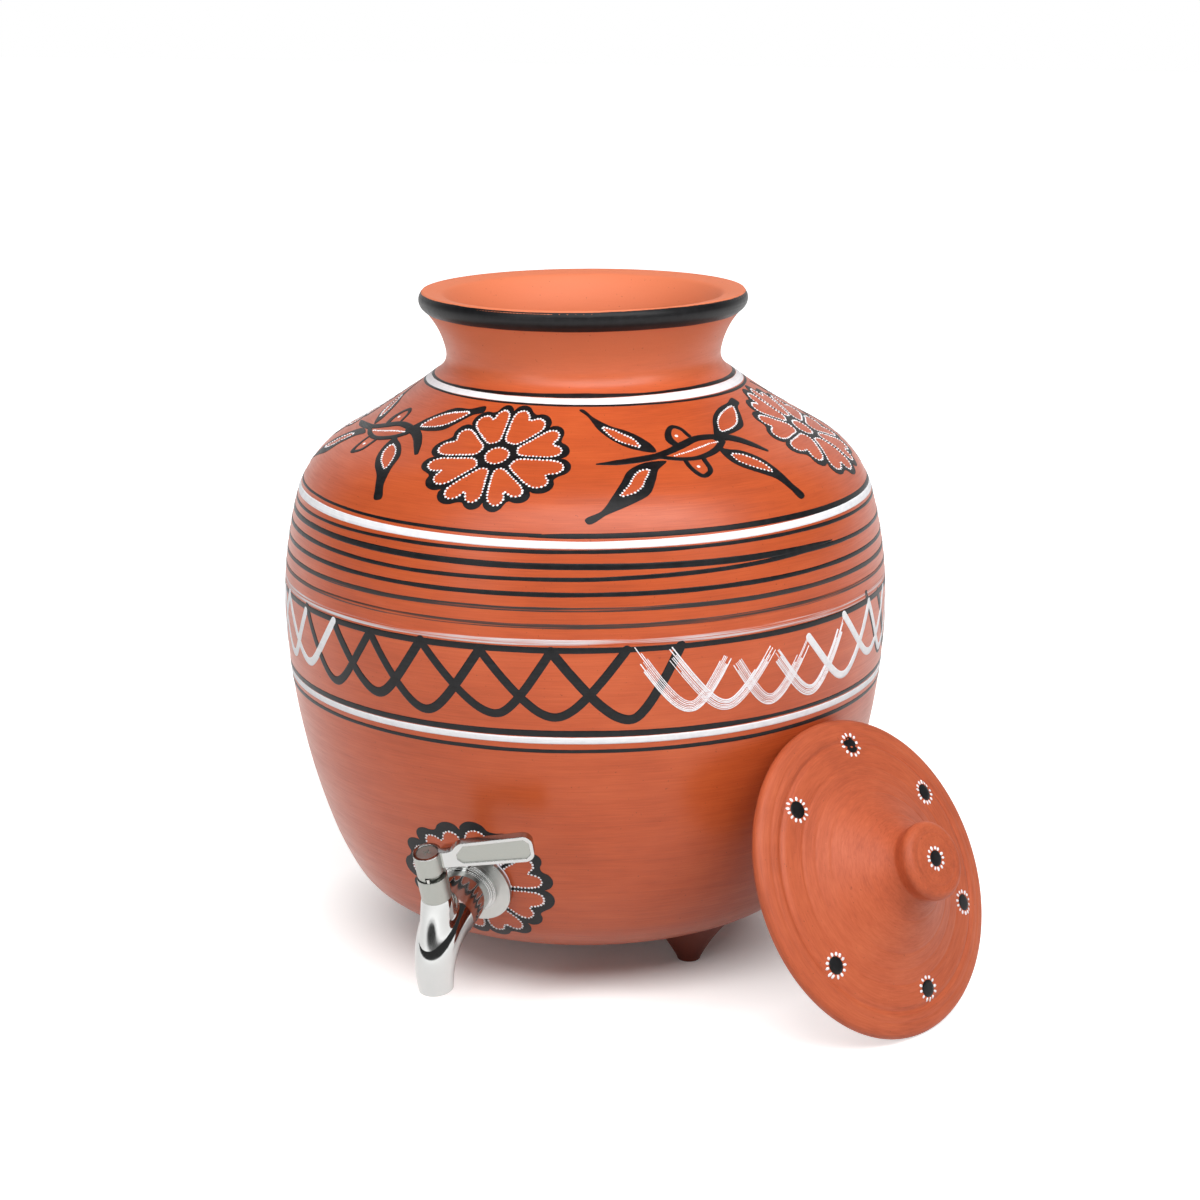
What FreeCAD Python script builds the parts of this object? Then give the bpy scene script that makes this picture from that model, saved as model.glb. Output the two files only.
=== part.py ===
import FreeCAD, Part
import math
import os

import Sketcher
from FreeCAD import Vector

# Clay water pot with a quarter-turn tap and a loose lid.  Millimetres, +Z up.
# The origin is on the pot's axis, on the ground under the feet.  The tap faces -Y.
# An azimuth is counted from -Y towards +X.

SIZES = [
    # The pot's outer outline from the middle of the base up, each knot from the one before.
    ("clay_wall", 8.0),
    ("base_centre_height", 9.7),
    ("base_radius", 62.0),
    ("base_rise", 5.6),
    ("heel_out", 36.0),
    ("heel_rise", 8.4),
    ("lower_out", 22.0),
    ("lower_rise", 17.3),
    ("seat_out", 10.7),
    ("seat_rise", 23.5),
    ("belly_out", 19.2),
    ("belly_rise", 99.5),
    ("upper_in", 7.1),
    ("upper_rise", 63.4),
    ("shoulder_in", 23.3),
    ("shoulder_rise", 29.8),
    ("root_in", 48.5),
    ("root_rise", 31.3),
    ("neck_in", 3.4),
    ("neck_rise", 8.5),
    ("flare_out", 9.8),
    ("flare_rise", 20.0),
    # The rim: a bulging band outside, a lip that falls inwards, a straight mouth below it.
    ("band_out", 1.4),
    ("band_rise", 9.6),
    ("band_round", 6.0),
    ("lip_width", 10.2),
    ("lip_fall", 1.7),
    ("neck_wall", 7.6),
    ("lip_depth", 23.6),
    ("throat_round", 16.0),
    # Three tapered feet.
    ("foot_ring", 77.0),
    ("foot_tip_radius", 5.8),
    ("foot_tip_round", 1.4),
    ("foot_root_radius", 30.0),
    ("foot_root_height", 31.0),
    ("foot_flare_radius", 90.0),
    ("foot_azimuth", 65.0),
    # The lid, measured up from the underside of its edge.
    ("lid_radius", 75.2),
    ("lid_edge_round", 3.2),
    ("brow_in", 2.4),
    ("brow_rise", 6.3),
    ("field_in", 15.8),
    ("field_rise", 2.9),
    ("cone_in", 21.0),
    ("cone_rise", 7.3),
    ("knob_foot_in", 13.5),
    ("knob_foot_rise", 9.8),
    ("knob_neck_in", 5.7),
    ("knob_neck_rise", 7.7),
    ("knob_out", 1.5),
    ("knob_rise", 5.5),
    ("knob_edge_in", 3.4),
    ("knob_edge_rise", 4.7),
    ("lid_fit_gap", 1.5),
    ("lid_flange_wall", 6.0),
    ("lid_flange_depth", 8.0),
    ("lid_hollow_edge", 2.0),
    ("lid_hollow_radius", 9.0),
    ("lid_hollow_height", 18.4),
    # How the lid leans on the pot: where its axis points, and how far it stays clear.
    ("lean_azimuth", 70.7),
    ("lean_elevation", 26.3),
    ("rest_gap", 0.3),
    # Tap: what clamps it to the wall, counted outwards from the wall's outer face.
    ("seat_cut", 1.6),
    ("seat_cut_margin", 0.7),
    ("inner_cut", 0.2),
    ("hole_gap", 0.6),
    ("gasket_radius", 19.6),
    ("gasket_thickness", 2.0),
    ("plate_radius", 20.5),
    ("plate_thickness", 1.6),
    ("inner_gasket_radius", 16.0),
    ("inner_gasket_thickness", 2.0),
    ("washer_radius", 15.0),
    ("washer_thickness", 1.2),
    ("nut_flats", 24.0),
    ("nut_thickness", 6.0),
    ("shank_radius", 7.9),
    ("shank_spare", 3.0),
    ("ring_gap", 0.3),
    ("thread_gap", 0.05),
    # Tap casting.
    ("collar_radius", 14.0),
    ("collar_thickness", 2.2),
    ("step_radius", 13.1),
    ("step_thickness", 1.8),
    ("barrel_radius", 12.0),
    ("elbow_start", 24.0),
    ("elbow_radius", 23.8),
    ("elbow_angle", 80.0),
    ("spout_straight", 4.0),
    ("spout_tip_radius", 8.2),
    ("spout_bore_radius", 6.4),
    ("spout_bore_angle", 41.0),
    ("boss_wall", 2.1),
    # Ball valve.
    ("stem_reach", 31.3),
    ("ball_radius", 5.0),
    ("port_radius", 3.0),
    ("port_reach", 11.6),
    ("ball_gap", 0.8),
    ("seat_face", 2.2),
    ("seat_length", 3.0),
    ("seal_gap", 0.05),
    ("retainer_length", 9.0),
    ("retainer_bore_radius", 3.4),
    ("slot_width", 2.6),
    ("slot_depth", 1.8),
    ("tang_gap", 0.1),
    # Stem, its seals and the gland that holds it down.
    ("stem_radius", 4.5),
    ("stem_lift", 0.2),
    ("groove_rise", 3.0),
    ("groove_pitch", 4.4),
    ("groove_width", 2.0),
    ("thrust_rise", 3.6),
    ("cord_radius", 0.85),
    ("thrust_thickness", 0.8),
    ("spindle_radius", 3.0),
    ("gland_wall", 0.4),
    ("gland_length", 9.1),
    ("gland_drop", 0.4),
    ("square_rise", 1.2),
    ("square_height", 7.2),
    ("square_width", 4.2),
    ("screw_radius", 1.5),
    ("screw_length", 8.0),
    ("drill_spare", 1.0),
    # Lever.
    ("closed_angle", 20.0),
    ("hub_gap", 0.5),
    ("hub_wall", 1.4),
    ("hub_height", 12.7),
    ("head_gap", 0.3),
    ("dish_depth", 2.2),
    ("socket_gap", 0.05),
    ("socket_spare", 0.3),
    ("arm_lift", 4.4),
    ("arm_rise_start", 9.0),
    ("arm_rise_length", 8.0),
    ("paddle_rise", 4.3),
    ("paddle_end_fall", 0.5),
    ("paddle_end_rise", 0.9),
    ("paddle_length", 48.5),
    ("paddle_corner", 4.5),
    ("paddle_thickness", 4.0),
    ("panel_start", 13.5),
    ("panel_border", 1.6),
    ("panel_depth", 0.5),
    ("spring_washer_radius", 3.6),
    ("spring_washer_thickness", 0.5),
    ("head_radius", 4.8),
    ("head_thickness", 1.3),
    ("cross_length", 4.2),
    ("cross_width", 0.9),
    ("cross_depth", 0.8),
    # Stop pin in the boss, and the notch in the hub that it runs in.
    ("pin_radius", 0.8),
    ("pin_angle", 12.0),
    ("pin_depth", 5.0),
    ("pin_rise", 2.2),
    ("notch_height", 2.4),
    ("notch_gap", 0.3),
    ("lever_turn", 90.0),
]

# Feet by name, each with its azimuth.
FEET = {
    "foot_front_left": "-Dim.foot_azimuth",
    "foot_front_right": "Dim.foot_azimuth",
    "foot_back": "180",
}

FULL_TURN = 360
CLEARING = 20       # how far a cutter runs past what it cuts
LEAN_STEPS = 8      # how often the lid's distance to the pot is measured while it is leant

doc = FreeCAD.newDocument("clay_water_pot_with_tap")
sheet = doc.addObject("Spreadsheet::Sheet", "Dim")
cells = {}


def put_size(alias, number):
    """Write a named number into the sheet, in a row of its own."""
    row = cells.setdefault(alias, len(cells) + 1)
    sheet.set(f"A{row}", alias)
    sheet.set(f"B{row}", str(number))
    sheet.setAlias(f"B{row}", alias)
    sheet.recompute()


for size_name, size in SIZES:
    put_size(size_name, size)


def value(expression):
    """The number that an expression over the sheet gives."""
    return float(sheet.evalExpression(expression))


def bind(thing, **expressions):
    """Bind properties of an object to expressions."""
    for prop, expression in expressions.items():
        thing.setExpression(prop, expression)
    return thing


# ------------------------------------------------------------------ placements


def vector(x, y, z):
    return f"create(<<vector>>; {x}; {y}; {z})"


def turn(axis, angle):
    """Expression of a placement that turns about an axis of the frame."""
    along = {"X": vector(1, 0, 0), "Y": vector(0, 1, 0), "Z": vector(0, 0, 1)}[axis]
    rotation = f"create(<<rotation>>; {along}; {angle})"
    return f"create(<<placement>>; {vector(0, 0, 0)}; {rotation})"


def move(x=0, y=0, z=0):
    """Expression of a placement that moves without turning."""
    still = f"create(<<rotation>>; {vector(0, 0, 1)}; 0)"
    return f"create(<<placement>>; {vector(x, y, z)}; {still})"


def chain(*placements):
    return " * ".join(placements)


# ------------------------------------------------------------------ places on the pot


def climb(radius, height, steps):
    """An outline's knots, each as expressions of its radius and its height."""
    knots = {}
    for name, across in steps:
        radius = f"{radius} {across[0]} Dim.{across[1:]}"
        height = f"{height} + Dim.{name}_rise"
        knots[name] = (radius, height)
    return knots


# Each knot by name, and whether it lies further out or in than the knot before it.
KNOTS = climb("0", "Dim.base_centre_height", [
    ("base", "+base_radius"),
    ("heel", "+heel_out"),
    ("lower", "+lower_out"),
    ("seat", "+seat_out"),
    ("belly", "+belly_out"),
    ("upper", "-upper_in"),
    ("shoulder", "-shoulder_in"),
    ("root", "-root_in"),
    ("neck", "-neck_in"),
    ("flare", "+flare_out"),
    ("band", "+band_out"),
])
RISE = list(KNOTS)[:-1]
TAP_KNOT = RISE.index("seat")
WALL_ARCS = RISE.index("root") + 1
SEAT_RADIUS, SEAT_HEIGHT = KNOTS["seat"]
BAND_RADIUS, RIM_HEIGHT = KNOTS["band"]
MOUTH_RADIUS = f"{KNOTS['neck'][0]} - Dim.neck_wall"

# In the tap's frame X runs out along the shank and Z up along the stem, square to the wall.
TAP = chain(
    move(0, f"-({SEAT_RADIUS})", SEAT_HEIGHT),
    turn("X", "Dim.tap_tilt"),
    turn("Z", -90),
)
STEM = chain(TAP, move("Dim.stem_reach"))
ARM = chain(STEM, turn("Z", "90 + Dim.closed_angle"))

# ------------------------------------------------------------------ sketches and bodies


def origin_plane(body, role):
    return next(plane for plane in body.Origin.OriginFeatures if plane.Role == role)


def new_body(label, frame=None):
    body = doc.addObject("PartDesign::Body", label)
    body.Label = label
    if frame:
        body.setExpression("Placement", frame)
    return body


def new_sketch(body, role, name, offset=None):
    sketch = body.newObject("Sketcher::SketchObject", name)
    sketch.AttachmentSupport = [(origin_plane(body, role), "")]
    sketch.MapMode = "FlatFace"
    if offset:
        sketch.setExpression("AttachmentOffset.Base.z", offset)
    return sketch


def constrain(sketch, kind, *ends):
    return sketch.addConstraint(Sketcher.Constraint(kind, *ends))


def dimension(sketch, kind, expression, *ends):
    """Add a dimension that follows an expression over the sheet."""
    index = constrain(sketch, kind, *ends, value(expression))
    sketch.setExpression(f"Constraints[{index}]", expression)


def hold(sketch, end, x, y):
    """Hold a point at its named place, or on an axis where the place is nought."""
    if x == "0":
        constrain(sketch, "PointOnObject", *end, -2)
    elif x:
        dimension(sketch, "DistanceX", x, -1, 1, *end)
    if y == "0":
        constrain(sketch, "PointOnObject", *end, -1)
    elif y:
        dimension(sketch, "DistanceY", y, -1, 1, *end)


class Stretch:
    """One arc of an outline: its number, whether it runs counter-clockwise, its ends."""

    def __init__(self, number, counter):
        self.number = number
        self.counter = counter
        self.start = (number, 1 if counter else 2)
        self.end = (number, 2 if counter else 1)


class Outline:
    """A closed sketch outline, drawn from knot to knot, each knot at named sizes."""

    def __init__(self, sketch, x, y):
        self.sketch = sketch
        self.opening = (x, y)
        self.first = None
        self.last = None
        self.knot = Vector(value(x), value(y), 0)
        self.heading = None

    def join(self, start, end, x, y, tangent):
        if self.first is None:
            self.first = start
            hold(self.sketch, start, *self.opening)
        else:
            constrain(self.sketch, "Tangent" if tangent else "Coincident", *self.last, *start)
        hold(self.sketch, end, x, y)
        self.last = end
        self.knot = Vector(value(x), value(y), 0)

    def line(self, x, y):
        target = Vector(value(x), value(y), 0)
        number = self.sketch.addGeometry(Part.LineSegment(self.knot, target), False)
        self.heading = (target - self.knot).normalize()
        self.join((number, 1), (number, 2), x, y, False)

    def arc(self, centre, radius, x, y, counter, tangent):
        target = Vector(value(x), value(y), 0)
        from_angle = math.atan2(self.knot.y - centre.y, self.knot.x - centre.x)
        to_angle = math.atan2(target.y - centre.y, target.x - centre.x)
        angles = (from_angle, to_angle) if counter else (to_angle, from_angle)
        whole = Part.Circle(centre, Vector(0, 0, 1), radius)
        number = self.sketch.addGeometry(Part.ArcOfCircle(whole, *angles), False)
        stretch = Stretch(number, counter)
        self.join(stretch.start, stretch.end, x, y, tangent)
        return stretch

    def bend(self, x, y, heading=None):
        """An arc that leaves in the heading of the stretch before it, or in a given one."""
        away = heading or self.heading
        chord = Vector(value(x), value(y), 0) - self.knot
        side = Vector(-away.y, away.x, 0)
        radius = chord.Length ** 2 / (2 * side.dot(chord))
        stretch = self.arc(self.knot + side * radius, abs(radius), x, y,
                           radius > 0, heading is None)
        chord.normalize()
        self.heading = chord * (2 * chord.dot(away)) - away
        return stretch

    def round(self, x, y, radius, counter=True):
        """An arc of a named radius."""
        size = value(radius)
        chord = Vector(value(x), value(y), 0) - self.knot
        side = Vector(-chord.y, chord.x, 0).normalize() * (1 if counter else -1)
        depth = math.sqrt(max(size ** 2 - (chord.Length / 2) ** 2, 0))
        stretch = self.arc(self.knot + chord * 0.5 + side * depth, size, x, y, counter, False)
        dimension(self.sketch, "Radius", radius, stretch.number)
        return stretch

    def close(self):
        start = self.sketch.getPoint(*self.first)
        number = self.sketch.addGeometry(Part.LineSegment(self.knot, start), False)
        constrain(self.sketch, "Coincident", *self.last, number, 1)
        constrain(self.sketch, "Coincident", number, 2, *self.first)


def polygon(sketch, knots):
    """A closed outline of straight lines."""
    outline = Outline(sketch, *knots[0])
    for knot in knots[1:]:
        outline.line(*knot)
    outline.close()


def rectangle(sketch, half_x, half_y):
    """A rectangle about the sketch's origin."""
    polygon(sketch, [
        (f"-({half_x})", f"-({half_y})"),
        (half_x, f"-({half_y})"),
        (half_x, half_y),
        (f"-({half_x})", half_y),
    ])


def circle(sketch, radius):
    """A circle about the sketch's origin."""
    whole = Part.Circle(Vector(0, 0, 0), Vector(0, 0, 1), value(radius))
    number = sketch.addGeometry(whole, False)
    constrain(sketch, "Coincident", number, 3, -1, 1)
    dimension(sketch, "Radius", radius, number)


def revolve(body, sketch, axis="V_Axis"):
    feature = body.newObject("PartDesign::Revolution", f"{body.Name}_turned")
    feature.Profile = sketch
    feature.ReferenceAxis = (sketch, [axis])
    feature.Angle = FULL_TURN
    return feature


def pad(body, sketch, length, midplane=False, backwards=False):
    feature = body.newObject("PartDesign::Pad", f"{sketch.Name}_pad")
    feature.Profile = sketch
    feature.setExpression("Length", length)
    feature.Midplane = midplane
    feature.Reversed = backwards
    return feature


def pocket(body, sketch, length):
    """Cut a sketch out of the body, against the sketch's normal."""
    doc.recompute()
    before = body.Shape.Volume
    feature = body.newObject("PartDesign::Pocket", f"{sketch.Name}_pocket")
    feature.Profile = sketch
    feature.setExpression("Length", length)
    doc.recompute()
    if body.Shape.Volume >= before:
        raise ValueError(f"{feature.Name} cuts nothing")
    return feature


def ring(label, frame, role, start, length, outer, inner):
    """A flat ring or a tube, padded from its start along the plane's normal."""
    body = new_body(label, frame)
    sketch = new_sketch(body, role, f"{label}_section", start)
    circle(sketch, outer)
    circle(sketch, inner)
    pad(body, sketch, length)
    return body


# ------------------------------------------------------------------ primitives and booleans


def cylinder(name, radius, height, frame, angle=FULL_TURN):
    thing = doc.addObject("Part::Cylinder", name)
    return bind(thing, Radius=radius, Height=height, Placement=frame, Angle=str(angle))


def sphere(name, radius, frame):
    return bind(doc.addObject("Part::Sphere", name), Radius=radius, Placement=frame)


def block(name, size_x, size_y, size_z, frame):
    """A box whose underside is centred on the frame's origin."""
    centred = chain(frame, move(f"-({size_x}) / 2", f"-({size_y}) / 2"))
    thing = doc.addObject("Part::Box", name)
    return bind(thing, Length=size_x, Width=size_y, Height=size_z, Placement=centred)


def cut(label, base, *tools):
    result = doc.addObject("Part::Cut", label)
    result.Label = label
    result.Base = base
    result.Tool = tools[0] if len(tools) == 1 else fuse(f"{label}_cutters", *tools)
    return result


def fuse(name, *pieces):
    result = doc.addObject("Part::MultiFuse", name)
    result.Shapes = list(pieces)
    return result


# ------------------------------------------------------------------ pot


def draw_outside(sketch):
    """The outside from the base up: arcs that run into each other, then the rim's band."""
    outline = Outline(sketch, "0", "Dim.base_centre_height")
    arcs = []
    for name in RISE:
        level = None if arcs else Vector(1, 0, 0)
        arcs.append(outline.bend(*KNOTS[name], level))
    constrain(sketch, "PointOnObject", arcs[0].number, 3, -2)
    outline.round(BAND_RADIUS, RIM_HEIGHT, "Dim.band_round")
    return outline, arcs


def draw_inner_wall(sketch, arcs):
    """Arcs about the outside's own centres, one wall further in."""
    wall = value("Dim.clay_wall")
    inner = []
    for outer in arcs[:WALL_ARCS]:
        shape = sketch.Geometry[outer.number]
        radius = shape.Radius - wall if outer.counter else shape.Radius + wall
        whole = Part.Circle(shape.Center, Vector(0, 0, 1), radius)
        angles = (shape.FirstParameter, shape.LastParameter)
        number = sketch.addGeometry(Part.ArcOfCircle(whole, *angles), False)
        constrain(sketch, "Coincident", number, 3, outer.number, 3)
        inner.append(Stretch(number, outer.counter))
    for lower, upper in zip(inner, inner[1:]):
        constrain(sketch, "Tangent", *lower.end, *upper.start)
    constrain(sketch, "PointOnObject", *inner[0].start, -2)
    dimension(sketch, "DistanceY", "Dim.clay_wall", *arcs[0].start, *inner[0].start)
    return inner


def draw_mouth(sketch, outline, wall_top, heading):
    """The lip, the flare below it, the straight mouth and the throat down to the wall."""
    outline.line(f"{BAND_RADIUS} - Dim.lip_width", f"{RIM_HEIGHT} - Dim.lip_fall")
    lip = outline.knot
    lip_end = outline.last
    mouth = value(MOUTH_RADIUS)
    mouth_top = Vector(mouth, value(f"{RIM_HEIGHT} - Dim.lip_depth"), 0)

    # The throat rounds the corner between the wall's inner face and the mouth.
    throat_radius = value("Dim.throat_round")
    edge = sketch.getPoint(*wall_top.end)
    corner = edge + heading * ((mouth - edge.x) / heading.x)
    reach = throat_radius * math.tan(heading.getAngle(Vector(0, 1, 0)) / 2)
    mouth_foot = corner + Vector(0, reach, 0)
    centre = mouth_foot + Vector(throat_radius, 0, 0)
    wall_side = corner - heading * reach - centre
    whole = Part.Circle(centre, Vector(0, 0, 1), throat_radius)
    angles = (math.pi, math.atan2(wall_side.y, wall_side.x))
    throat = sketch.addGeometry(Part.ArcOfCircle(whole, *angles), False)
    constrain(sketch, "Tangent", *wall_top.end, throat, 2)
    dimension(sketch, "Radius", "Dim.throat_round", throat)

    straight = sketch.addGeometry(Part.LineSegment(mouth_foot, mouth_top), False)
    constrain(sketch, "Tangent", throat, 1, straight, 1)
    constrain(sketch, "Vertical", straight)
    hold(sketch, (straight, 2), MOUTH_RADIUS, f"{RIM_HEIGHT} - Dim.lip_depth")

    # The flare leaves the mouth upright and meets the lip.
    across = lip - mouth_top
    flare_radius = across.Length ** 2 / (2 * across.x)
    centre = mouth_top + Vector(flare_radius, 0, 0)
    whole = Part.Circle(centre, Vector(0, 0, 1), flare_radius)
    angles = (math.atan2(lip.y - centre.y, lip.x - centre.x), math.pi)
    flare = sketch.addGeometry(Part.ArcOfCircle(whole, *angles), False)
    constrain(sketch, "Tangent", straight, 2, flare, 2)
    constrain(sketch, "Coincident", flare, 1, *lip_end)


def close_on_axis(sketch, lower, upper):
    points = [sketch.getPoint(*end) for end in (lower, upper)]
    number = sketch.addGeometry(Part.LineSegment(*points), False)
    constrain(sketch, "Coincident", number, 1, *lower)
    constrain(sketch, "Coincident", number, 2, *upper)


def make_thrown_pot():
    """The pot as it leaves the wheel.  Also gives the wall's tilt where the tap sits."""
    body = new_body("pot_thrown")
    sketch = new_sketch(body, "XZ_Plane", "pot_outline")
    outline, arcs = draw_outside(sketch)
    root = arcs[WALL_ARCS - 1]
    spoke = sketch.getPoint(*root.end) - sketch.getPoint(root.number, 3)
    heading = Vector(-spoke.y, spoke.x, 0).normalize() * (1 if root.counter else -1)
    inner = draw_inner_wall(sketch, arcs)
    draw_mouth(sketch, outline, inner[-1], heading)
    close_on_axis(sketch, arcs[0].start, inner[0].start)
    revolve(body, sketch)
    doc.recompute()
    seat = arcs[TAP_KNOT]
    spoke = sketch.getPoint(*seat.end) - sketch.getPoint(seat.number, 3)
    tilt = -math.degrees(math.atan2(spoke.y, spoke.x))
    return body, tilt


def make_pot_blank():
    """The pot's outside as a solid, to fit the feet to."""
    body = new_body("pot_blank")
    sketch = new_sketch(body, "XZ_Plane", "blank_outline")
    outline, _ = draw_outside(sketch)
    outline.line("0", RIM_HEIGHT)
    outline.close()
    revolve(body, sketch)
    return body


def make_foot(label, azimuth, blank):
    """A tapered foot, its top shaped to the pot's underside."""
    frame = chain(turn("Z", f"{azimuth} - 90"), move("Dim.foot_ring"))
    body = new_body(f"{label}_cone", frame)
    sketch = new_sketch(body, "XZ_Plane", f"{label}_outline")
    outline = Outline(sketch, "0", "0")
    outline.line("Dim.foot_tip_radius - Dim.foot_tip_round", "0")
    outline.round("Dim.foot_tip_radius", "Dim.foot_tip_round", "Dim.foot_tip_round")
    outline.round("Dim.foot_root_radius", "Dim.foot_root_height", "Dim.foot_flare_radius", False)
    outline.line("Dim.foot_root_radius", f"Dim.foot_root_height + {CLEARING}")
    outline.line("0", f"Dim.foot_root_height + {CLEARING}")
    outline.close()
    revolve(body, sketch)
    return cut(label, body, blank)


# ------------------------------------------------------------------ lid

LID_KNOTS = climb("Dim.lid_radius", "0", [
    ("brow", "-brow_in"),
    ("field", "-field_in"),
    ("cone", "-cone_in"),
    ("knob_foot", "-knob_foot_in"),
    ("knob_neck", "-knob_neck_in"),
    ("knob", "+knob_out"),
    ("knob_edge", "-knob_edge_in"),
])


def make_lid():
    """A shallow cone with a flat knob, hollow below, with a flange that drops in the mouth."""
    # The axis of the leaning lid, from the middle of its edge, and then its underside.
    edge_height = ("Dim.rest_gap + Dim.lid_edge_round"
                   " + (Dim.lid_radius - Dim.lid_edge_round) * cos(Dim.lean_elevation)")
    lean = chain(
        turn("Z", "Dim.lean_azimuth - 90"),
        move("Dim.lean_reach", 0, edge_height),
        turn("Y", "90 - Dim.lean_elevation"),
        move(0, 0, "-Dim.lid_edge_round"),
    )
    body = new_body("lid", lean)
    sketch = new_sketch(body, "XZ_Plane", "lid_outline")
    flange_outside = f"{MOUTH_RADIUS} - Dim.lid_fit_gap"
    flange_inside = f"{flange_outside} - Dim.lid_flange_wall"
    outline = Outline(sketch, "0", "Dim.lid_hollow_height")
    outline.line("Dim.lid_hollow_radius", "Dim.lid_hollow_height")
    outline.line(flange_inside, "Dim.lid_hollow_edge")
    outline.line(flange_inside, "-Dim.lid_flange_depth")
    outline.line(flange_outside, "-Dim.lid_flange_depth")
    outline.line(flange_outside, "0")
    outline.line("Dim.lid_radius - Dim.lid_edge_round", "0")
    for name in ("brow", "field", "cone", "knob_foot", "knob_neck"):
        outline.bend(*LID_KNOTS[name])
    outline.line(*LID_KNOTS["knob"])
    outline.bend(*LID_KNOTS["knob_edge"])
    outline.line("0", LID_KNOTS["knob_edge"][1])
    outline.close()
    revolve(body, sketch)
    return body


def lean_against(body, pot):
    """Slide the leaning lid up to the pot until only the rest gap is left."""
    wanted = value("Dim.rest_gap")
    for _ in range(LEAN_STEPS):
        doc.recompute()
        gap = body.Shape.distToShape(pot.Shape)[0]
        put_size("lean_reach", value("Dim.lean_reach") - (gap - wanted))
    doc.recompute()


# ------------------------------------------------------------------ tap: clamping

# Places along the shank, counted out from the wall's outer face.
OUTER_SEAT = "-Dim.seat_cut"
PLATE_BACK = f"{OUTER_SEAT} + Dim.gasket_thickness"
COLLAR_BACK = f"{PLATE_BACK} + Dim.plate_thickness"
INNER_SEAT = "-Dim.clay_wall + Dim.inner_cut"
WASHER_FRONT = f"{INNER_SEAT} - Dim.inner_gasket_thickness"
NUT_FRONT = f"{WASHER_FRONT} - Dim.washer_thickness"
NUT_BACK = f"{NUT_FRONT} - Dim.nut_thickness"
SHANK_END = f"{NUT_BACK} - Dim.shank_spare"
RING_BORE = "Dim.shank_radius + Dim.ring_gap"


def along(place):
    """A frame at a place on the shank's axis, its Z pointing out of the pot."""
    return chain(TAP, move(place), turn("Y", 90))


def drill_pot(thrown):
    """Flat seats for the gaskets on both faces of the wall, and the hole for the shank."""
    outer = cylinder("outer_seat_cutter", "Dim.plate_radius + Dim.seat_cut_margin",
                     str(CLEARING), along(OUTER_SEAT))
    inner = cylinder("inner_seat_cutter", "Dim.inner_gasket_radius + Dim.seat_cut_margin",
                     str(CLEARING), along(f"{INNER_SEAT} - {CLEARING}"))
    hole = cylinder("tap_hole_cutter", "Dim.shank_radius + Dim.hole_gap",
                    f"{CLEARING} * 2", along(f"-{CLEARING}"))
    return cut("pot_body", thrown, outer, inner, hole)


def make_clamp_rings():
    """The gaskets, face plate and washer that the lock nut pulls on to the wall."""
    return {
        "outer_gasket": ring("outer_gasket", TAP, "YZ_Plane", OUTER_SEAT,
                             "Dim.gasket_thickness", "Dim.gasket_radius", RING_BORE),
        "face_plate": ring("face_plate", TAP, "YZ_Plane", PLATE_BACK,
                           "Dim.plate_thickness", "Dim.plate_radius", RING_BORE),
        "inner_gasket": ring("inner_gasket", TAP, "YZ_Plane", WASHER_FRONT,
                             "Dim.inner_gasket_thickness", "Dim.inner_gasket_radius",
                             RING_BORE),
        "nut_washer": ring("nut_washer", TAP, "YZ_Plane", NUT_FRONT,
                           "Dim.washer_thickness", "Dim.washer_radius", RING_BORE),
    }


def make_lock_nut():
    hexagon = doc.addObject("Part::Prism", "nut_hexagon")
    hexagon.Polygon = 6
    bind(hexagon, Circumradius="Dim.nut_flats / sqrt(3)", Height="Dim.nut_thickness",
         Placement=along(NUT_BACK))
    bore = cylinder("nut_bore", "Dim.shank_radius + Dim.thread_gap",
                    "Dim.nut_thickness", along(NUT_BACK))
    return cut("lock_nut", hexagon, bore)


# ------------------------------------------------------------------ tap: casting

CHAMBER_RADIUS = "Dim.ball_radius + Dim.ball_gap"
CHAMBER_END = "Dim.stem_reach + Dim.seat_face + Dim.seat_length"
STEM_FOOT = f"{CHAMBER_RADIUS} + Dim.stem_lift"
LOW_GROOVE = f"{STEM_FOOT} + Dim.groove_rise"
HIGH_GROOVE = f"{LOW_GROOVE} + Dim.groove_pitch"
THRUST_FACE = f"{HIGH_GROOVE} + Dim.groove_width + Dim.thrust_rise"
GLAND_SEAT = f"{THRUST_FACE} + Dim.thrust_thickness"
GLAND_RADIUS = "Dim.stem_radius + Dim.gland_wall"
BOSS_TOP = f"{GLAND_SEAT} + Dim.gland_length + Dim.gland_drop"
BOSS_RADIUS = f"{GLAND_RADIUS} + Dim.boss_wall"
PIN_CIRCLE = f"({GLAND_RADIUS} + {BOSS_RADIUS}) / 2"


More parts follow.
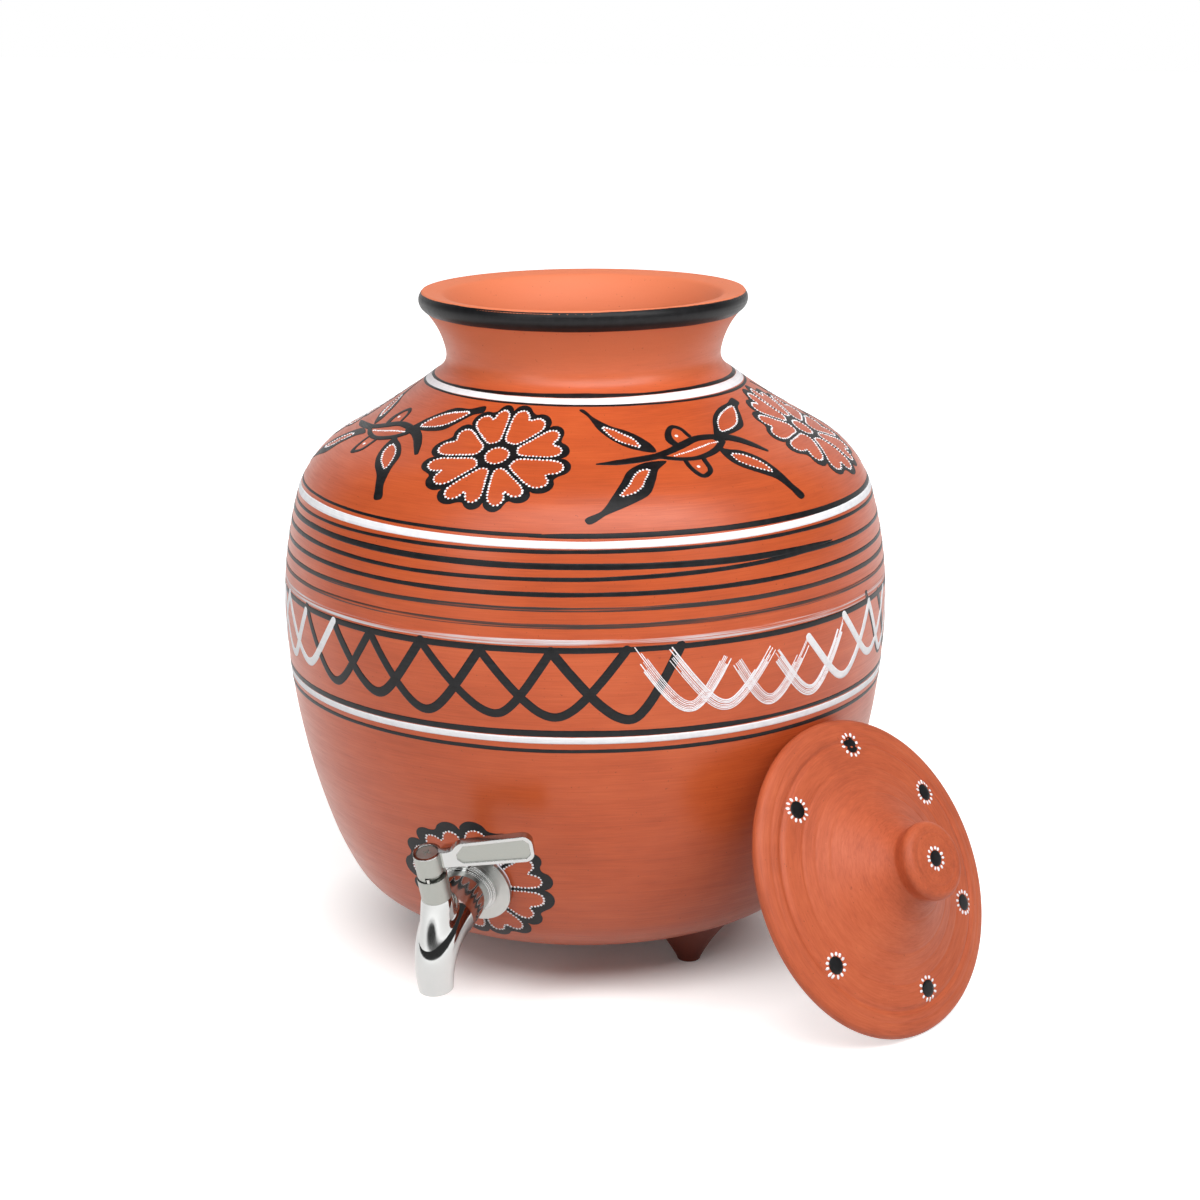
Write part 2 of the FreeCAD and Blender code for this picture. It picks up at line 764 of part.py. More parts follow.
def elbow_spine(name, start_angle):
    """The middle line of the elbow from an angle on, and the straight end of the spout."""
    spine = doc.addObject("Sketcher::SketchObject", name)
    spine.setExpression("Placement", chain(TAP, turn("X", 90)))
    centre = Vector(value("Dim.elbow_start"), -value("Dim.elbow_radius"), 0)
    whole = Part.Circle(centre, Vector(0, 0, 1), value("Dim.elbow_radius"))
    down = math.radians(90 - value("Dim.elbow_angle"))
    up = math.radians(90 - value(start_angle))
    arc = spine.addGeometry(Part.ArcOfCircle(whole, down, up), False)
    hold(spine, (arc, 3), "Dim.elbow_start", "-Dim.elbow_radius")
    dimension(spine, "Radius", "Dim.elbow_radius", arc)
    hold(spine, (arc, 1), None, "-Dim.elbow_radius * (1 - cos(Dim.elbow_angle))")
    hold(spine, (arc, 2), f"Dim.elbow_start + Dim.elbow_radius * sin({start_angle})", None)
    foot = spine.getPoint(arc, 1)
    onward = Vector(math.sin(down), -math.cos(down), 0) * value("Dim.spout_straight")
    line = spine.addGeometry(Part.LineSegment(foot, foot + onward), False)
    constrain(spine, "Tangent", arc, 1, line, 1)
    dimension(spine, "Distance", "Dim.spout_straight", line)
    return spine


def elbow_section(name, radius, angle, onward="0"):
    """A circle square to the elbow's middle line at an angle, or further on in its heading."""
    x = f"Dim.elbow_start + Dim.elbow_radius * sin({angle}) + {onward} * cos({angle})"
    z = f"-Dim.elbow_radius * (1 - cos({angle})) - {onward} * sin({angle})"
    section = doc.addObject("Part::Circle", name)
    frame = chain(TAP, move(x, 0, z), turn("Y", f"90 + {angle}"))
    return bind(section, Radius=radius, Placement=frame)


def sweep(name, spine, *sections):
    result = doc.addObject("Part::Sweep", name)
    result.Sections = list(sections)
    result.Spine = (spine, ["Edge1", "Edge2"])
    result.Solid = True
    result.Frenet = False
    return result


def make_tap_body():
    """Shank, collar and barrel turned in one, with the tapering spout and the stem's boss."""
    turned = new_body("tap_turned", TAP)
    sketch = new_sketch(turned, "XY_Plane", "tap_outline")
    collar_front = f"{COLLAR_BACK} + Dim.collar_thickness"
    step_front = f"{collar_front} + Dim.step_thickness"
    polygon(sketch, [
        (SHANK_END, "0"),
        (SHANK_END, "Dim.shank_radius"),
        (COLLAR_BACK, "Dim.shank_radius"),
        (COLLAR_BACK, "Dim.collar_radius"),
        (collar_front, "Dim.collar_radius"),
        (collar_front, "Dim.step_radius"),
        (step_front, "Dim.step_radius"),
        (step_front, "Dim.barrel_radius"),
        ("Dim.elbow_start", "Dim.barrel_radius"),
        ("Dim.elbow_start", "0"),
    ])
    revolve(turned, sketch, "H_Axis")

    elbow = sweep(
        "elbow", elbow_spine("elbow_line", "0"),
        elbow_section("elbow_root", "Dim.barrel_radius", "0"),
        elbow_section("spout_tip", "Dim.spout_tip_radius", "Dim.elbow_angle",
                      "Dim.spout_straight"))
    boss = cylinder("boss", BOSS_RADIUS, BOSS_TOP, STEM)
    outside = fuse("tap_outside", turned, elbow, boss)

    spout_bore = sweep(
        "spout_bore", elbow_spine("bore_line", "Dim.spout_bore_angle"),
        elbow_section("bore_root", "Dim.spout_bore_radius", "Dim.spout_bore_angle"))
    chamber = cylinder("chamber", CHAMBER_RADIUS, f"{CHAMBER_END} - ({SHANK_END})",
                       along(SHANK_END))
    port = cylinder("port", "Dim.port_radius", "Dim.port_reach", along("Dim.stem_reach"))
    stem_bore = cylinder("stem_bore", "Dim.stem_radius + Dim.seal_gap", GLAND_SEAT, STEM)
    gland_bore = cylinder("gland_bore", f"{GLAND_RADIUS} + Dim.thread_gap", BOSS_TOP,
                          chain(STEM, move(0, 0, GLAND_SEAT)))
    pin_hole = cylinder("pin_hole", "Dim.pin_radius + Dim.thread_gap", BOSS_TOP, pin_frame())
    return cut("tap_body", outside, spout_bore, chamber, port, stem_bore, gland_bore, pin_hole)


def pin_frame():
    foot = f"{BOSS_TOP} - Dim.pin_depth"
    return chain(STEM, turn("Z", "Dim.pin_angle"), move(PIN_CIRCLE, 0, foot))


# ------------------------------------------------------------------ tap: valve

HUB_FOOT = f"{BOSS_TOP} + Dim.hub_gap"
SQUARE_FOOT = f"{HUB_FOOT} + Dim.square_rise"


def make_ball():
    """The ball, its port turned across the flow, with a slot on top for the stem."""
    whole = sphere("ball_blank", "Dim.ball_radius", STEM)
    port = cylinder("ball_port", "Dim.port_radius", "Dim.ball_radius * 4",
                    chain(STEM, turn("X", -90), move(0, 0, "-Dim.ball_radius * 2")))
    slot = block("ball_slot", "Dim.slot_width", "Dim.ball_radius * 2", "Dim.ball_radius",
                 chain(STEM, move(0, 0, "Dim.ball_radius - Dim.slot_depth")))
    return cut("valve_ball", whole, port, slot)


def make_ball_seat(label, start):
    """A ring with one face hollowed to the ball."""
    blank = ring(f"{label}_ring", TAP, "YZ_Plane", start, "Dim.seat_length",
                 f"{CHAMBER_RADIUS} - Dim.seal_gap", "Dim.port_radius")
    hollow = sphere(f"{label}_hollow", "Dim.ball_radius + Dim.seal_gap", STEM)
    return cut(label, blank, hollow)


def make_stem():
    """The stem: a tang for the ball, two ring grooves, a spindle and a square for the lever."""
    body = new_body("valve_stem", STEM)
    sketch = new_sketch(body, "XZ_Plane", "stem_outline")
    floor = "Dim.stem_radius - 2 * Dim.cord_radius - Dim.thread_gap"
    knots = [("0", STEM_FOOT), ("Dim.stem_radius", STEM_FOOT)]
    for groove in (LOW_GROOVE, HIGH_GROOVE):
        top = f"{groove} + Dim.groove_width"
        knots += [("Dim.stem_radius", groove), (floor, groove)]
        knots += [(floor, top), ("Dim.stem_radius", top)]
    knots += [
        ("Dim.stem_radius", THRUST_FACE),
        ("Dim.spindle_radius", THRUST_FACE),
        ("Dim.spindle_radius", SQUARE_FOOT),
        ("0", SQUARE_FOOT),
    ]
    polygon(sketch, knots)
    revolve(body, sketch)

    square = new_sketch(body, "XY_Plane", "stem_square", SQUARE_FOOT)
    rectangle(square, "Dim.square_width / 2", "Dim.square_width / 2")
    pad(body, square, "Dim.square_height")
    # The tang's corners pass clear of the ball's seats as the stem turns.
    half_width = "Dim.slot_width / 2 - Dim.tang_gap"
    half_length = f"sqrt((Dim.seat_face - Dim.tang_gap) ^ 2 - ({half_width}) ^ 2)"
    tang = new_sketch(body, "XY_Plane", "stem_tang", STEM_FOOT)
    rectangle(tang, half_width, half_length)
    tang_foot = "Dim.ball_radius - Dim.slot_depth + Dim.tang_gap"
    pad(body, tang, f"{STEM_FOOT} - ({tang_foot})", backwards=True)
    drill = new_sketch(body, "XY_Plane", "stem_drill", f"{SQUARE_FOOT} + Dim.square_height")
    circle(drill, "Dim.screw_radius + Dim.thread_gap")
    pocket(body, drill, "Dim.screw_length + Dim.drill_spare")
    return body


def make_seal(label, groove):
    seal = doc.addObject("Part::Torus", label)
    frame = chain(STEM, move(0, 0, f"{groove} + Dim.groove_width / 2"))
    return bind(seal, Radius1="Dim.stem_radius - Dim.cord_radius", Radius2="Dim.cord_radius",
                Placement=frame)


# ------------------------------------------------------------------ tap: lever

HUB_TOP = f"{HUB_FOOT} + Dim.hub_height"
DISH_FLOOR = f"{HUB_TOP} - Dim.dish_depth"
DISH_RADIUS = "Dim.head_radius + Dim.head_gap"
HUB_RADIUS = f"{DISH_RADIUS} + Dim.hub_wall"
HEAD_FOOT = f"{DISH_FLOOR} + Dim.spring_washer_thickness"
ARM_LOW = f"{HUB_FOOT} + Dim.arm_lift"
RISE_END = "Dim.arm_rise_start + Dim.arm_rise_length"
PADDLE_TOP = f"{HUB_TOP} + Dim.paddle_rise"
END_LOW = f"{ARM_LOW} - Dim.paddle_end_fall"
END_TOP = f"{PADDLE_TOP} + Dim.paddle_end_rise"


def make_arm():
    """The lever's flat arm: level below, with a sloping rise on top, and a sunk panel."""
    body = new_body("lever_arm", ARM)
    sketch = new_sketch(body, "XZ_Plane", "arm_outline")
    corner_start = "Dim.paddle_length - Dim.paddle_corner"
    rise_middle = ("Dim.arm_rise_start + Dim.arm_rise_length / 2",
                   f"({HUB_TOP} + {PADDLE_TOP}) / 2")
    outline = Outline(sketch, "0", ARM_LOW)
    outline.line(corner_start, END_LOW)
    outline.round("Dim.paddle_length", f"{END_LOW} + Dim.paddle_corner",
                  "Dim.paddle_corner")
    outline.line("Dim.paddle_length", f"{END_TOP} - Dim.paddle_corner")
    outline.round(corner_start, END_TOP, "Dim.paddle_corner")
    outline.line(RISE_END, PADDLE_TOP)
    outline.bend(*rise_middle)
    outline.bend("Dim.arm_rise_start", HUB_TOP)
    outline.line("0", HUB_TOP)
    outline.close()
    pad(body, sketch, "Dim.paddle_thickness", midplane=True)

    panel = new_sketch(body, "XZ_Plane", "arm_panel", "Dim.paddle_thickness / 2")
    panel_end = "Dim.paddle_length - Dim.panel_border"
    chamfer = "Dim.paddle_corner / 2"
    polygon(panel, [
        (f"Dim.panel_start + {chamfer}", f"{ARM_LOW} + Dim.panel_border"),
        (f"{panel_end} - {chamfer}", f"{END_LOW} + Dim.panel_border"),
        (panel_end, f"{END_LOW} + Dim.panel_border + {chamfer}"),
        (panel_end, f"{END_TOP} - Dim.panel_border - {chamfer}"),
        (f"{panel_end} - {chamfer}", f"{END_TOP} - Dim.panel_border"),
        (RISE_END, f"{PADDLE_TOP} - Dim.panel_border"),
        ("Dim.panel_start", f"{HUB_TOP} - Dim.panel_border"),
        ("Dim.panel_start", f"{ARM_LOW} + Dim.panel_border + {chamfer}"),
    ])
    pocket(body, panel, "Dim.panel_depth")
    return body


def make_lever():
    """The arm on its hub, with the hub's dish, its socket and the notch for the stop pin."""
    at_hub_foot = chain(STEM, move(0, 0, HUB_FOOT))
    hub = cylinder("hub", HUB_RADIUS, "Dim.hub_height", at_hub_foot)
    outside = fuse("lever_outside", make_arm(), hub)
    dish = cylinder("hub_dish", DISH_RADIUS, str(CLEARING),
                    chain(STEM, move(0, 0, DISH_FLOOR)))
    spindle_hole = cylinder("hub_spindle_hole", "Dim.spindle_radius + Dim.seal_gap",
                            "Dim.square_rise", at_hub_foot)
    socket_width = "Dim.square_width + 2 * Dim.socket_gap"
    socket = block("hub_socket", socket_width, socket_width,
                   "Dim.square_height + Dim.socket_spare",
                   chain(STEM, move(0, 0, SQUARE_FOOT)))
    screw_hole = cylinder("hub_screw_hole", "Dim.screw_radius + Dim.seal_gap",
                          "Dim.hub_height", at_hub_foot)
    return cut("lever", outside, dish, spindle_hole, socket, screw_hole, make_notch())


def make_notch():
    """The part of a ring that the stop pin sweeps while the lever turns."""
    reach = "Dim.pin_radius + Dim.notch_gap"
    margin = f"asin(({reach}) / ({PIN_CIRCLE})) / 1deg"
    frame = chain(STEM, turn("Z", f"Dim.pin_angle - {margin}"), move(0, 0, HUB_FOOT))
    sector = cylinder("notch_sector", f"{HUB_RADIUS} + {BOSS_RADIUS}", "Dim.notch_height",
                      frame, f"Dim.lever_turn + 2 * {margin}")
    core = cylinder("notch_core", f"{PIN_CIRCLE} - ({reach})", "Dim.notch_height", frame)
    return cut("hub_notch", sector, core)


def make_lever_screw():
    """A cheese-head screw with a crossed recess."""
    body = new_body("lever_screw_blank", STEM)
    sketch = new_sketch(body, "XZ_Plane", "screw_outline")
    tip = f"{HEAD_FOOT} - Dim.screw_length"
    head_top = f"{HEAD_FOOT} + Dim.head_thickness"
    polygon(sketch, [
        ("0", tip),
        ("Dim.screw_radius", tip),
        ("Dim.screw_radius", HEAD_FOOT),
        ("Dim.head_radius", HEAD_FOOT),
        ("Dim.head_radius", head_top),
        ("0", head_top),
    ])
    revolve(body, sketch)
    recess = chain(STEM, move(0, 0, f"{head_top} - Dim.cross_depth"))
    slots = [
        block("cross_along", "Dim.cross_length", "Dim.cross_width", "Dim.cross_depth", recess),
        block("cross_over", "Dim.cross_width", "Dim.cross_length", "Dim.cross_depth", recess),
    ]
    return cut("lever_screw", body, *slots)


# ------------------------------------------------------------------ the whole part


def make_nodes():
    """Every piece by the name of its node."""
    nodes = {}
    thrown, tilt = make_thrown_pot()
    put_size("tap_tilt", tilt)
    nodes["pot_body"] = drill_pot(thrown)
    blank = make_pot_blank()
    for label, azimuth in FEET.items():
        nodes[label] = make_foot(label, azimuth, blank)

    put_size("lean_reach", value(f"{KNOTS['belly'][0]} + Dim.lid_radius"))
    nodes["lid"] = make_lid()
    lean_against(nodes["lid"], nodes["pot_body"])

    nodes.update(make_clamp_rings())
    nodes["lock_nut"] = make_lock_nut()
    nodes["tap_body"] = make_tap_body()

    nodes["valve_ball"] = make_ball()
    nodes["ball_seat_outer"] = make_ball_seat("ball_seat_outer",
                                              "Dim.stem_reach + Dim.seat_face")
    inner_seat = "Dim.stem_reach - Dim.seat_face - Dim.seat_length"
    nodes["ball_seat_inner"] = make_ball_seat("ball_seat_inner", inner_seat)
    nodes["seat_retainer"] = ring(
        "seat_retainer", TAP, "YZ_Plane", f"{inner_seat} - Dim.retainer_length",
        "Dim.retainer_length", f"{CHAMBER_RADIUS} - Dim.thread_gap",
        "Dim.retainer_bore_radius")

    nodes["valve_stem"] = make_stem()
    nodes["stem_seal_lower"] = make_seal("stem_seal_lower", LOW_GROOVE)
    nodes["stem_seal_upper"] = make_seal("stem_seal_upper", HIGH_GROOVE)
    spindle_bore = "Dim.spindle_radius + Dim.seal_gap"
    nodes["thrust_washer"] = ring("thrust_washer", STEM, "XY_Plane", THRUST_FACE,
                                  "Dim.thrust_thickness", "Dim.stem_radius", spindle_bore)
    nodes["gland_nut"] = ring("gland_nut", STEM, "XY_Plane", GLAND_SEAT, "Dim.gland_length",
                              GLAND_RADIUS, spindle_bore)
    nodes["stop_pin"] = cylinder("stop_pin", "Dim.pin_radius",
                                 "Dim.pin_depth + Dim.pin_rise", pin_frame())

    nodes["lever"] = make_lever()
    nodes["spring_washer"] = ring(
        "spring_washer", STEM, "XY_Plane", DISH_FLOOR, "Dim.spring_washer_thickness",
        "Dim.spring_washer_radius", "Dim.screw_radius + Dim.seal_gap")
    nodes["lever_screw"] = make_lever_screw()
    return nodes


def check(nodes):
    """Stop if anything in the document failed, or a piece isn't one sound solid."""
    for thing in doc.Objects:
        if "Invalid" in thing.State or "Error" in thing.State:
            raise ValueError(f"{thing.Name}: {thing.State}")
    for label, piece in nodes.items():
        shape = piece.Shape
        if shape.isNull() or not shape.isValid():
            raise ValueError(f"{label} has no sound shape")
        if len(shape.Solids) != 1:
            raise ValueError(f"{label} has {len(shape.Solids)} solids")


def export(nodes):
    os.makedirs("parts", exist_ok=True)
    for label, piece in nodes.items():
        piece.Shape.exportStep(f"parts/{label}.step")
        low = piece.Shape.BoundBox
        print(f"{label:18s} {piece.Shape.Volume:12.1f} mm3   z {low.ZMin:7.2f} {low.ZMax:7.2f}")


all_nodes = make_nodes()
doc.recompute()
check(all_nodes)
export(all_nodes)
print(f"tap tilt {value('Dim.tap_tilt'):.3f}  lean reach {value('Dim.lean_reach'):.3f}")
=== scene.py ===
import math
import random

import bpy
import numpy as np
from mathutils import Matrix, Vector
from mathutils.geometry import delaunay_2d_cdt


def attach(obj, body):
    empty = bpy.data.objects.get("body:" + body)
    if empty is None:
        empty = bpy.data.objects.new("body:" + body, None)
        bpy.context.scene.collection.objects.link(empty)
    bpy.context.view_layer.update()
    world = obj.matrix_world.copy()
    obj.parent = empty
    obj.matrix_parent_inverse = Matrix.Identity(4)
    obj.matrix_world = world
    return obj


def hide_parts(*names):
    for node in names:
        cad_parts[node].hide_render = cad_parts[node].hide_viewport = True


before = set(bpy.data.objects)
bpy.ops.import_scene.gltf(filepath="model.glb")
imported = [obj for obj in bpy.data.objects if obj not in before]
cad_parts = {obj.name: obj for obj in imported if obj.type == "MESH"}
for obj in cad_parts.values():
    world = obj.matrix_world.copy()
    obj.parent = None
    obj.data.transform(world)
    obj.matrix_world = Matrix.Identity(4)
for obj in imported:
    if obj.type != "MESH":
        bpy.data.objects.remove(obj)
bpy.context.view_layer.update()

# Lengths are in millimetres until a mesh is made.  A place on the pot's outside is a pair:
# an azimuth in degrees, from -Y towards +X, and the distance along the outline from the
# middle of the base.  Painting is laid out on flat maps, x across and s along the outline.

MM = 0.001

# ---- outlines


def bend(start, heading, end, step):
    """Points of the arc that leaves start in a heading and ends at end, and its last heading."""
    chord = end - start
    length = np.linalg.norm(chord)
    chord = chord / length
    side = np.array([-heading[1], heading[0]])
    sweep = 2 * math.atan2(side @ chord, heading @ chord)
    onward = 2 * (heading @ chord) * chord - heading
    radius = length / 2 / math.sin(sweep / 2)
    centre = start + radius * side
    spoke = start - centre
    count = max(2, int(abs(radius * sweep) / step))
    turn = np.linspace(0, sweep, count + 1)[1:]
    x = spoke[0] * np.cos(turn) - spoke[1] * np.sin(turn)
    y = spoke[0] * np.sin(turn) + spoke[1] * np.cos(turn)
    return centre + np.stack([x, y], 1), onward


def bends(start, heading, knots, step):
    """Arcs from knot to knot, each leaving in the heading of the one before."""
    here = np.array(start, float)
    heading = np.array(heading, float)
    rows = [here[None]]
    for knot in knots:
        points, heading = bend(here, heading, np.array(knot, float), step)
        rows.append(points)
        here = np.array(knot, float)
    return np.concatenate(rows), heading


def arc(centre, radius, start, end, step):
    """Points of a circle's arc between two angles in radians, without its first point."""
    count = max(2, int(abs(end - start) * radius / step))
    turn = np.linspace(start, end, count + 1)[1:]
    return np.array(centre) + radius * np.stack([np.cos(turn), np.sin(turn)], 1)


def run(start, end, step):
    """Points of a straight stretch, without its first point."""
    start, end = np.array(start, float), np.array(end, float)
    count = max(1, int(np.linalg.norm(end - start) / step))
    return start + np.outer(np.linspace(0, 1, count + 1)[1:], end - start)


def lengths(points):
    """The distance along a line of points to each of them."""
    return np.r_[0, np.cumsum(np.linalg.norm(np.diff(points, axis=0), axis=1))]


def headings(points):
    """The unit direction of a line at each point, and the unit direction to its left."""
    along = np.gradient(points, axis=0)
    along /= np.linalg.norm(along, axis=1)[:, None]
    return along, np.stack([-along[:, 1], along[:, 0]], 1)


def soften(points, rounds):
    """Take the sharpness off an outline's corners, its ends kept."""
    points = points.copy()
    for _ in range(rounds):
        points[1:-1] = points[:-2] / 4 + points[1:-1] / 2 + points[2:] / 4
    return points


STEP = 0.9
PAINT_ROOM = 0.2    # how far the clay stays inside the outline, so that the paint reaches it
BASE = (0.0, 9.7)
POT_KNOTS = [(62.0, 15.3), (98.0, 23.7), (120.0, 41.0), (130.7, 64.5), (149.9, 164.0),
             (142.8, 227.4), (119.5, 257.2), (71.0, 288.5), (67.6, 297.0), (77.4, 317.0)]
SHELL_KNOTS = 8     # how many of them the inside follows, up to the throat
RIM = (78.8, 326.6)
BAND_ROUND = 6.0
LIP = (68.6, 324.9)
MOUTH_RADIUS, MOUTH_TOP, MOUTH_FOOT = 60.0, 303.0, 294.753
THROAT_ROUND = 16.0
CLAY_WALL = 8.0


def band_arc():
    """The rim's painted side, one arc from the last knot to the rim."""
    start, end = np.array(POT_KNOTS[-1]), np.array(RIM)
    chord = end - start
    lean = math.atan2(chord[1], chord[0]) - math.asin(np.linalg.norm(chord) / 2 / BAND_ROUND)
    return bend(start, np.array([math.cos(lean), math.sin(lean)]), end, STEP)[0]


def pot_outline():
    """The outside's points with the distance to each, and the inside's from the rim down."""
    body, _ = bends(BASE, (1, 0), POT_KNOTS, STEP)
    outside = np.concatenate([body, band_arc()])
    along = lengths(outside)

    across = np.array(LIP) - (MOUTH_RADIUS, MOUTH_TOP)
    flare = across @ across / (2 * across[0])
    centre = (MOUTH_RADIUS + flare, MOUTH_TOP)
    lip_angle = math.atan2(LIP[1] - centre[1], LIP[0] - centre[0]) % (2 * math.pi)
    inner = [run(RIM, LIP, STEP), arc(centre, flare, lip_angle, math.pi, STEP),
             run((MOUTH_RADIUS, MOUTH_TOP), (MOUTH_RADIUS, MOUTH_FOOT), STEP)]

    # The throat, then the outside moved in by the wall.
    shell, heading = bends(BASE, (1, 0), POT_KNOTS[:SHELL_KNOTS], STEP * 2)
    shell = shell + CLAY_WALL * headings(shell)[1]
    wall_angle = math.atan2(heading[0], -heading[1]) % (2 * math.pi)
    throat = arc((MOUTH_RADIUS + THROAT_ROUND, MOUTH_FOOT), THROAT_ROUND, math.pi, wall_angle, STEP)
    shell = shell[shell[:, 1] < throat[-1][1] - STEP]
    shell[0, 0] = 0
    inner += [throat, shell[::-1]]
    outside = soften(outside, 2)
    outside[1:] += PAINT_ROOM * headings(outside)[1][1:]
    return outside, along, np.concatenate(inner)


OUTSIDE, ALONG, INSIDE = pot_outline()
SLOPE = headings(OUTSIDE)[0]


def turned(radius, azimuth, height):
    """Points by radius, azimuth in degrees and height."""
    radius, azimuth, height = np.broadcast_arrays(radius, np.radians(azimuth), height)
    return np.stack([radius * np.sin(azimuth), -radius * np.cos(azimuth), height], -1)


def surf(azimuth, s, lift):
    """Points on the pot's outside, lifted off it along its normal."""
    radius = np.interp(s, ALONG, OUTSIDE[:, 0]) + lift * np.interp(s, ALONG, SLOPE[:, 1])
    height = np.interp(s, ALONG, OUTSIDE[:, 1]) - lift * np.interp(s, ALONG, SLOPE[:, 0])
    return turned(radius, azimuth, height)


# ---- meshes


def make_object(name, points, faces, material, wheel=None, place=None):
    """A mesh object from points in millimetres, put in place in the row's frame.  wheel gives
    each point's place on the wheel."""
    points = np.asarray(points, float) * MM
    if place is not None:
        turn = np.array(place.to_3x3())
        points = points @ turn.T + np.array(place.translation)
    mesh = bpy.data.meshes.new(name)
    mesh.from_pydata(points.tolist(), [], [list(map(int, f)) for f in faces])
    mesh.materials.append(material)
    mesh.polygons.foreach_set("use_smooth", [True] * len(mesh.polygons))
    if wheel is not None:
        attribute = mesh.attributes.new("wheel", "FLOAT_VECTOR", "POINT")
        attribute.data.foreach_set("vector", (np.asarray(wheel) * MM).ravel())
    mesh.update()
    piece = bpy.data.objects.new(name, mesh)
    bpy.context.scene.collection.objects.link(piece)
    return piece


# Streaks of clay and paint are laid out on a wheel of this one radius, with the distance along
# the outline for its height, so that they run round the piece at one scale.
WHEEL_RADIUS = 120.0


def quads(rows, columns, wrap=False):
    """Faces of a grid of rows by columns of points."""
    across = np.arange(columns if wrap else columns - 1)
    row = np.arange(rows - 1)[:, None] * columns
    right = (across + 1) % columns
    return np.stack([row + across, row + right, row + columns + right, row + columns + across],
                    -1).reshape(-1, 4)


def lathe(outline, azimuths, s):
    """A turned mesh: points, faces and wheel places.  The outline starts and ends on the axis."""
    ring = outline[1:-1]
    points = turned(ring[:, :1], azimuths, ring[:, 1:]).reshape(-1, 3)
    wheel = turned(WHEEL_RADIUS, azimuths, s[1:-1, None]).reshape(-1, 3)
    faces = [tuple(f) for f in quads(len(ring), len(azimuths), True)]
    first, last = len(points), len(points) + 1
    points = np.concatenate([points, [[0, 0, outline[0, 1]], [0, 0, outline[-1, 1]]]])
    wheel = np.concatenate([wheel, [[0, 0, s[0]], [0, 0, s[-1]]]])
    count = len(azimuths)
    top = (len(ring) - 1) * count
    for i in range(count):
        j = (i + 1) % count
        faces.append((first, j, i))
        faces.append((top + i, top + j, last))
    return points, faces, wheel


def dome(sides, shares, lifts):
    """A blob of paint of radius 1: x, y and lift of its rings and its top, and its faces.  lifts
    has one number more than shares, the top's."""
    turn = np.radians(np.arange(sides) * 360 / sides)
    x = np.r_[np.outer(shares, np.cos(turn)).ravel(), 0]
    y = np.r_[np.outer(shares, np.sin(turn)).ravel(), 0]
    lift = np.r_[np.repeat(lifts[:-1], sides), lifts[-1]]
    faces = [tuple(f) for f in quads(len(shares), sides, True)]
    top = sides * len(shares)
    faces += [(top - sides + i, top - sides + (i + 1) % sides, top) for i in range(sides)]
    return x, y, lift, faces


# ---- materials


class Tree:
    """The node tree of a new material or world."""

    def __init__(self, owner):
        self.owner = owner
        owner.use_nodes = True
        self.tree = owner.node_tree
        self.tree.nodes.clear()

    def node(self, kind, settings=None, **inputs):
        """A node; inputs by the socket's name or number, linked where they are sockets."""
        node = self.tree.nodes.new("ShaderNode" + kind)
        for key, setting in (settings or {}).items():
            setattr(node, key, setting)
        for key, given in inputs.items():
            key = int(key[1:]) if key[0] == "_" else key.replace("_", " ")
            if isinstance(given, bpy.types.NodeSocket):
                self.tree.links.new(given, node.inputs[key])
            elif given is not None:
                node.inputs[key].default_value = given
        return node

    def math(self, operation, a, b=0.0):
        return self.node("Math", {"operation": operation}, _0=a, _1=b).outputs[0]

    def vector(self, operation, output, a, b=None):
        node = self.node("VectorMath", {"operation": operation}, _0=a, _1=b)
        return node.outputs[output]

    def weigh(self, *parts):
        """Numbers added up, each by its own share."""
        weighed = [self.product(*part) for part in parts]
        total = weighed[0]
        for part in weighed[1:]:
            total = self.math("ADD", total, part)
        return total

    def product(self, *parts):
        total = parts[0]
        for part in parts[1:]:
            total = self.math("MULTIPLY", total, part)
        return total

    def span(self, given, low, high, new_low, new_high):
        """A number moved from one span to another, held inside the new one."""
        return self.node("MapRange", None, Value=given, From_Min=low, From_Max=high,
                         To_Min=new_low, To_Max=new_high).outputs["Result"]

    def vary(self, noise, low, high):
        """A number that follows a noise's middle range."""
        return self.span(noise, 0.3, 0.7, low, high)

    def mix(self, factor, a, b):
        """Two colours mixed."""
        return self.node("Mix", {"data_type": "RGBA"}, Factor=factor, _6=a, _7=b).outputs[2]

    def between(self, factor, a, b):
        """Two numbers mixed."""
        return self.node("Mix", None, Factor=factor, A=a, B=b).outputs["Result"]

    def place(self):
        return self.node("TexCoord").outputs["Object"]

    def wheel(self):
        return self.node("Attribute", {"attribute_name": "wheel"}).outputs["Vector"]

    def height(self):
        """The distance along the outline, which is the wheel's height."""
        return self.node("SeparateXYZ", None, _0=self.wheel()).outputs["Z"]

    def noise(self, place, scale, detail=2.0, roughness=0.5):
        node = self.node("TexNoise", None, Vector=place, Scale=scale, Detail=detail,
                         Roughness=roughness)
        return node.outputs["Fac"]

    def streaks(self, around, along, detail, roughness):
        """Noise drawn out round the wheel."""
        place = self.node("Mapping", None, Vector=self.wheel(), Scale=(around, around, along))
        return self.noise(place.outputs["Vector"], 1.0, detail, roughness)

    def bump(self, height, depth, normal=None):
        return self.node("Bump", None, Height=height, Distance=depth, Strength=1.0,
                         Normal=normal).outputs["Normal"]

    def finish(self, **inputs):
        """The Principled surface, and the material."""
        surface = self.node("BsdfPrincipled", None, **inputs)
        self.node("OutputMaterial", None, Surface=surface.outputs[0])
        return self.owner


def new_tree(name):
    return Tree(bpy.data.materials.new(name))


def srgb(colour, shade=1.0):
    """A colour written as in an image editor, darkened by a share, as Blender's linear one."""
    linear = []
    for part in colour:
        part *= shade / 255
        linear.append(part / 12.92 if part <= 0.04045 else ((part + 0.055) / 1.055) ** 2.4)
    return (*linear, 1.0)


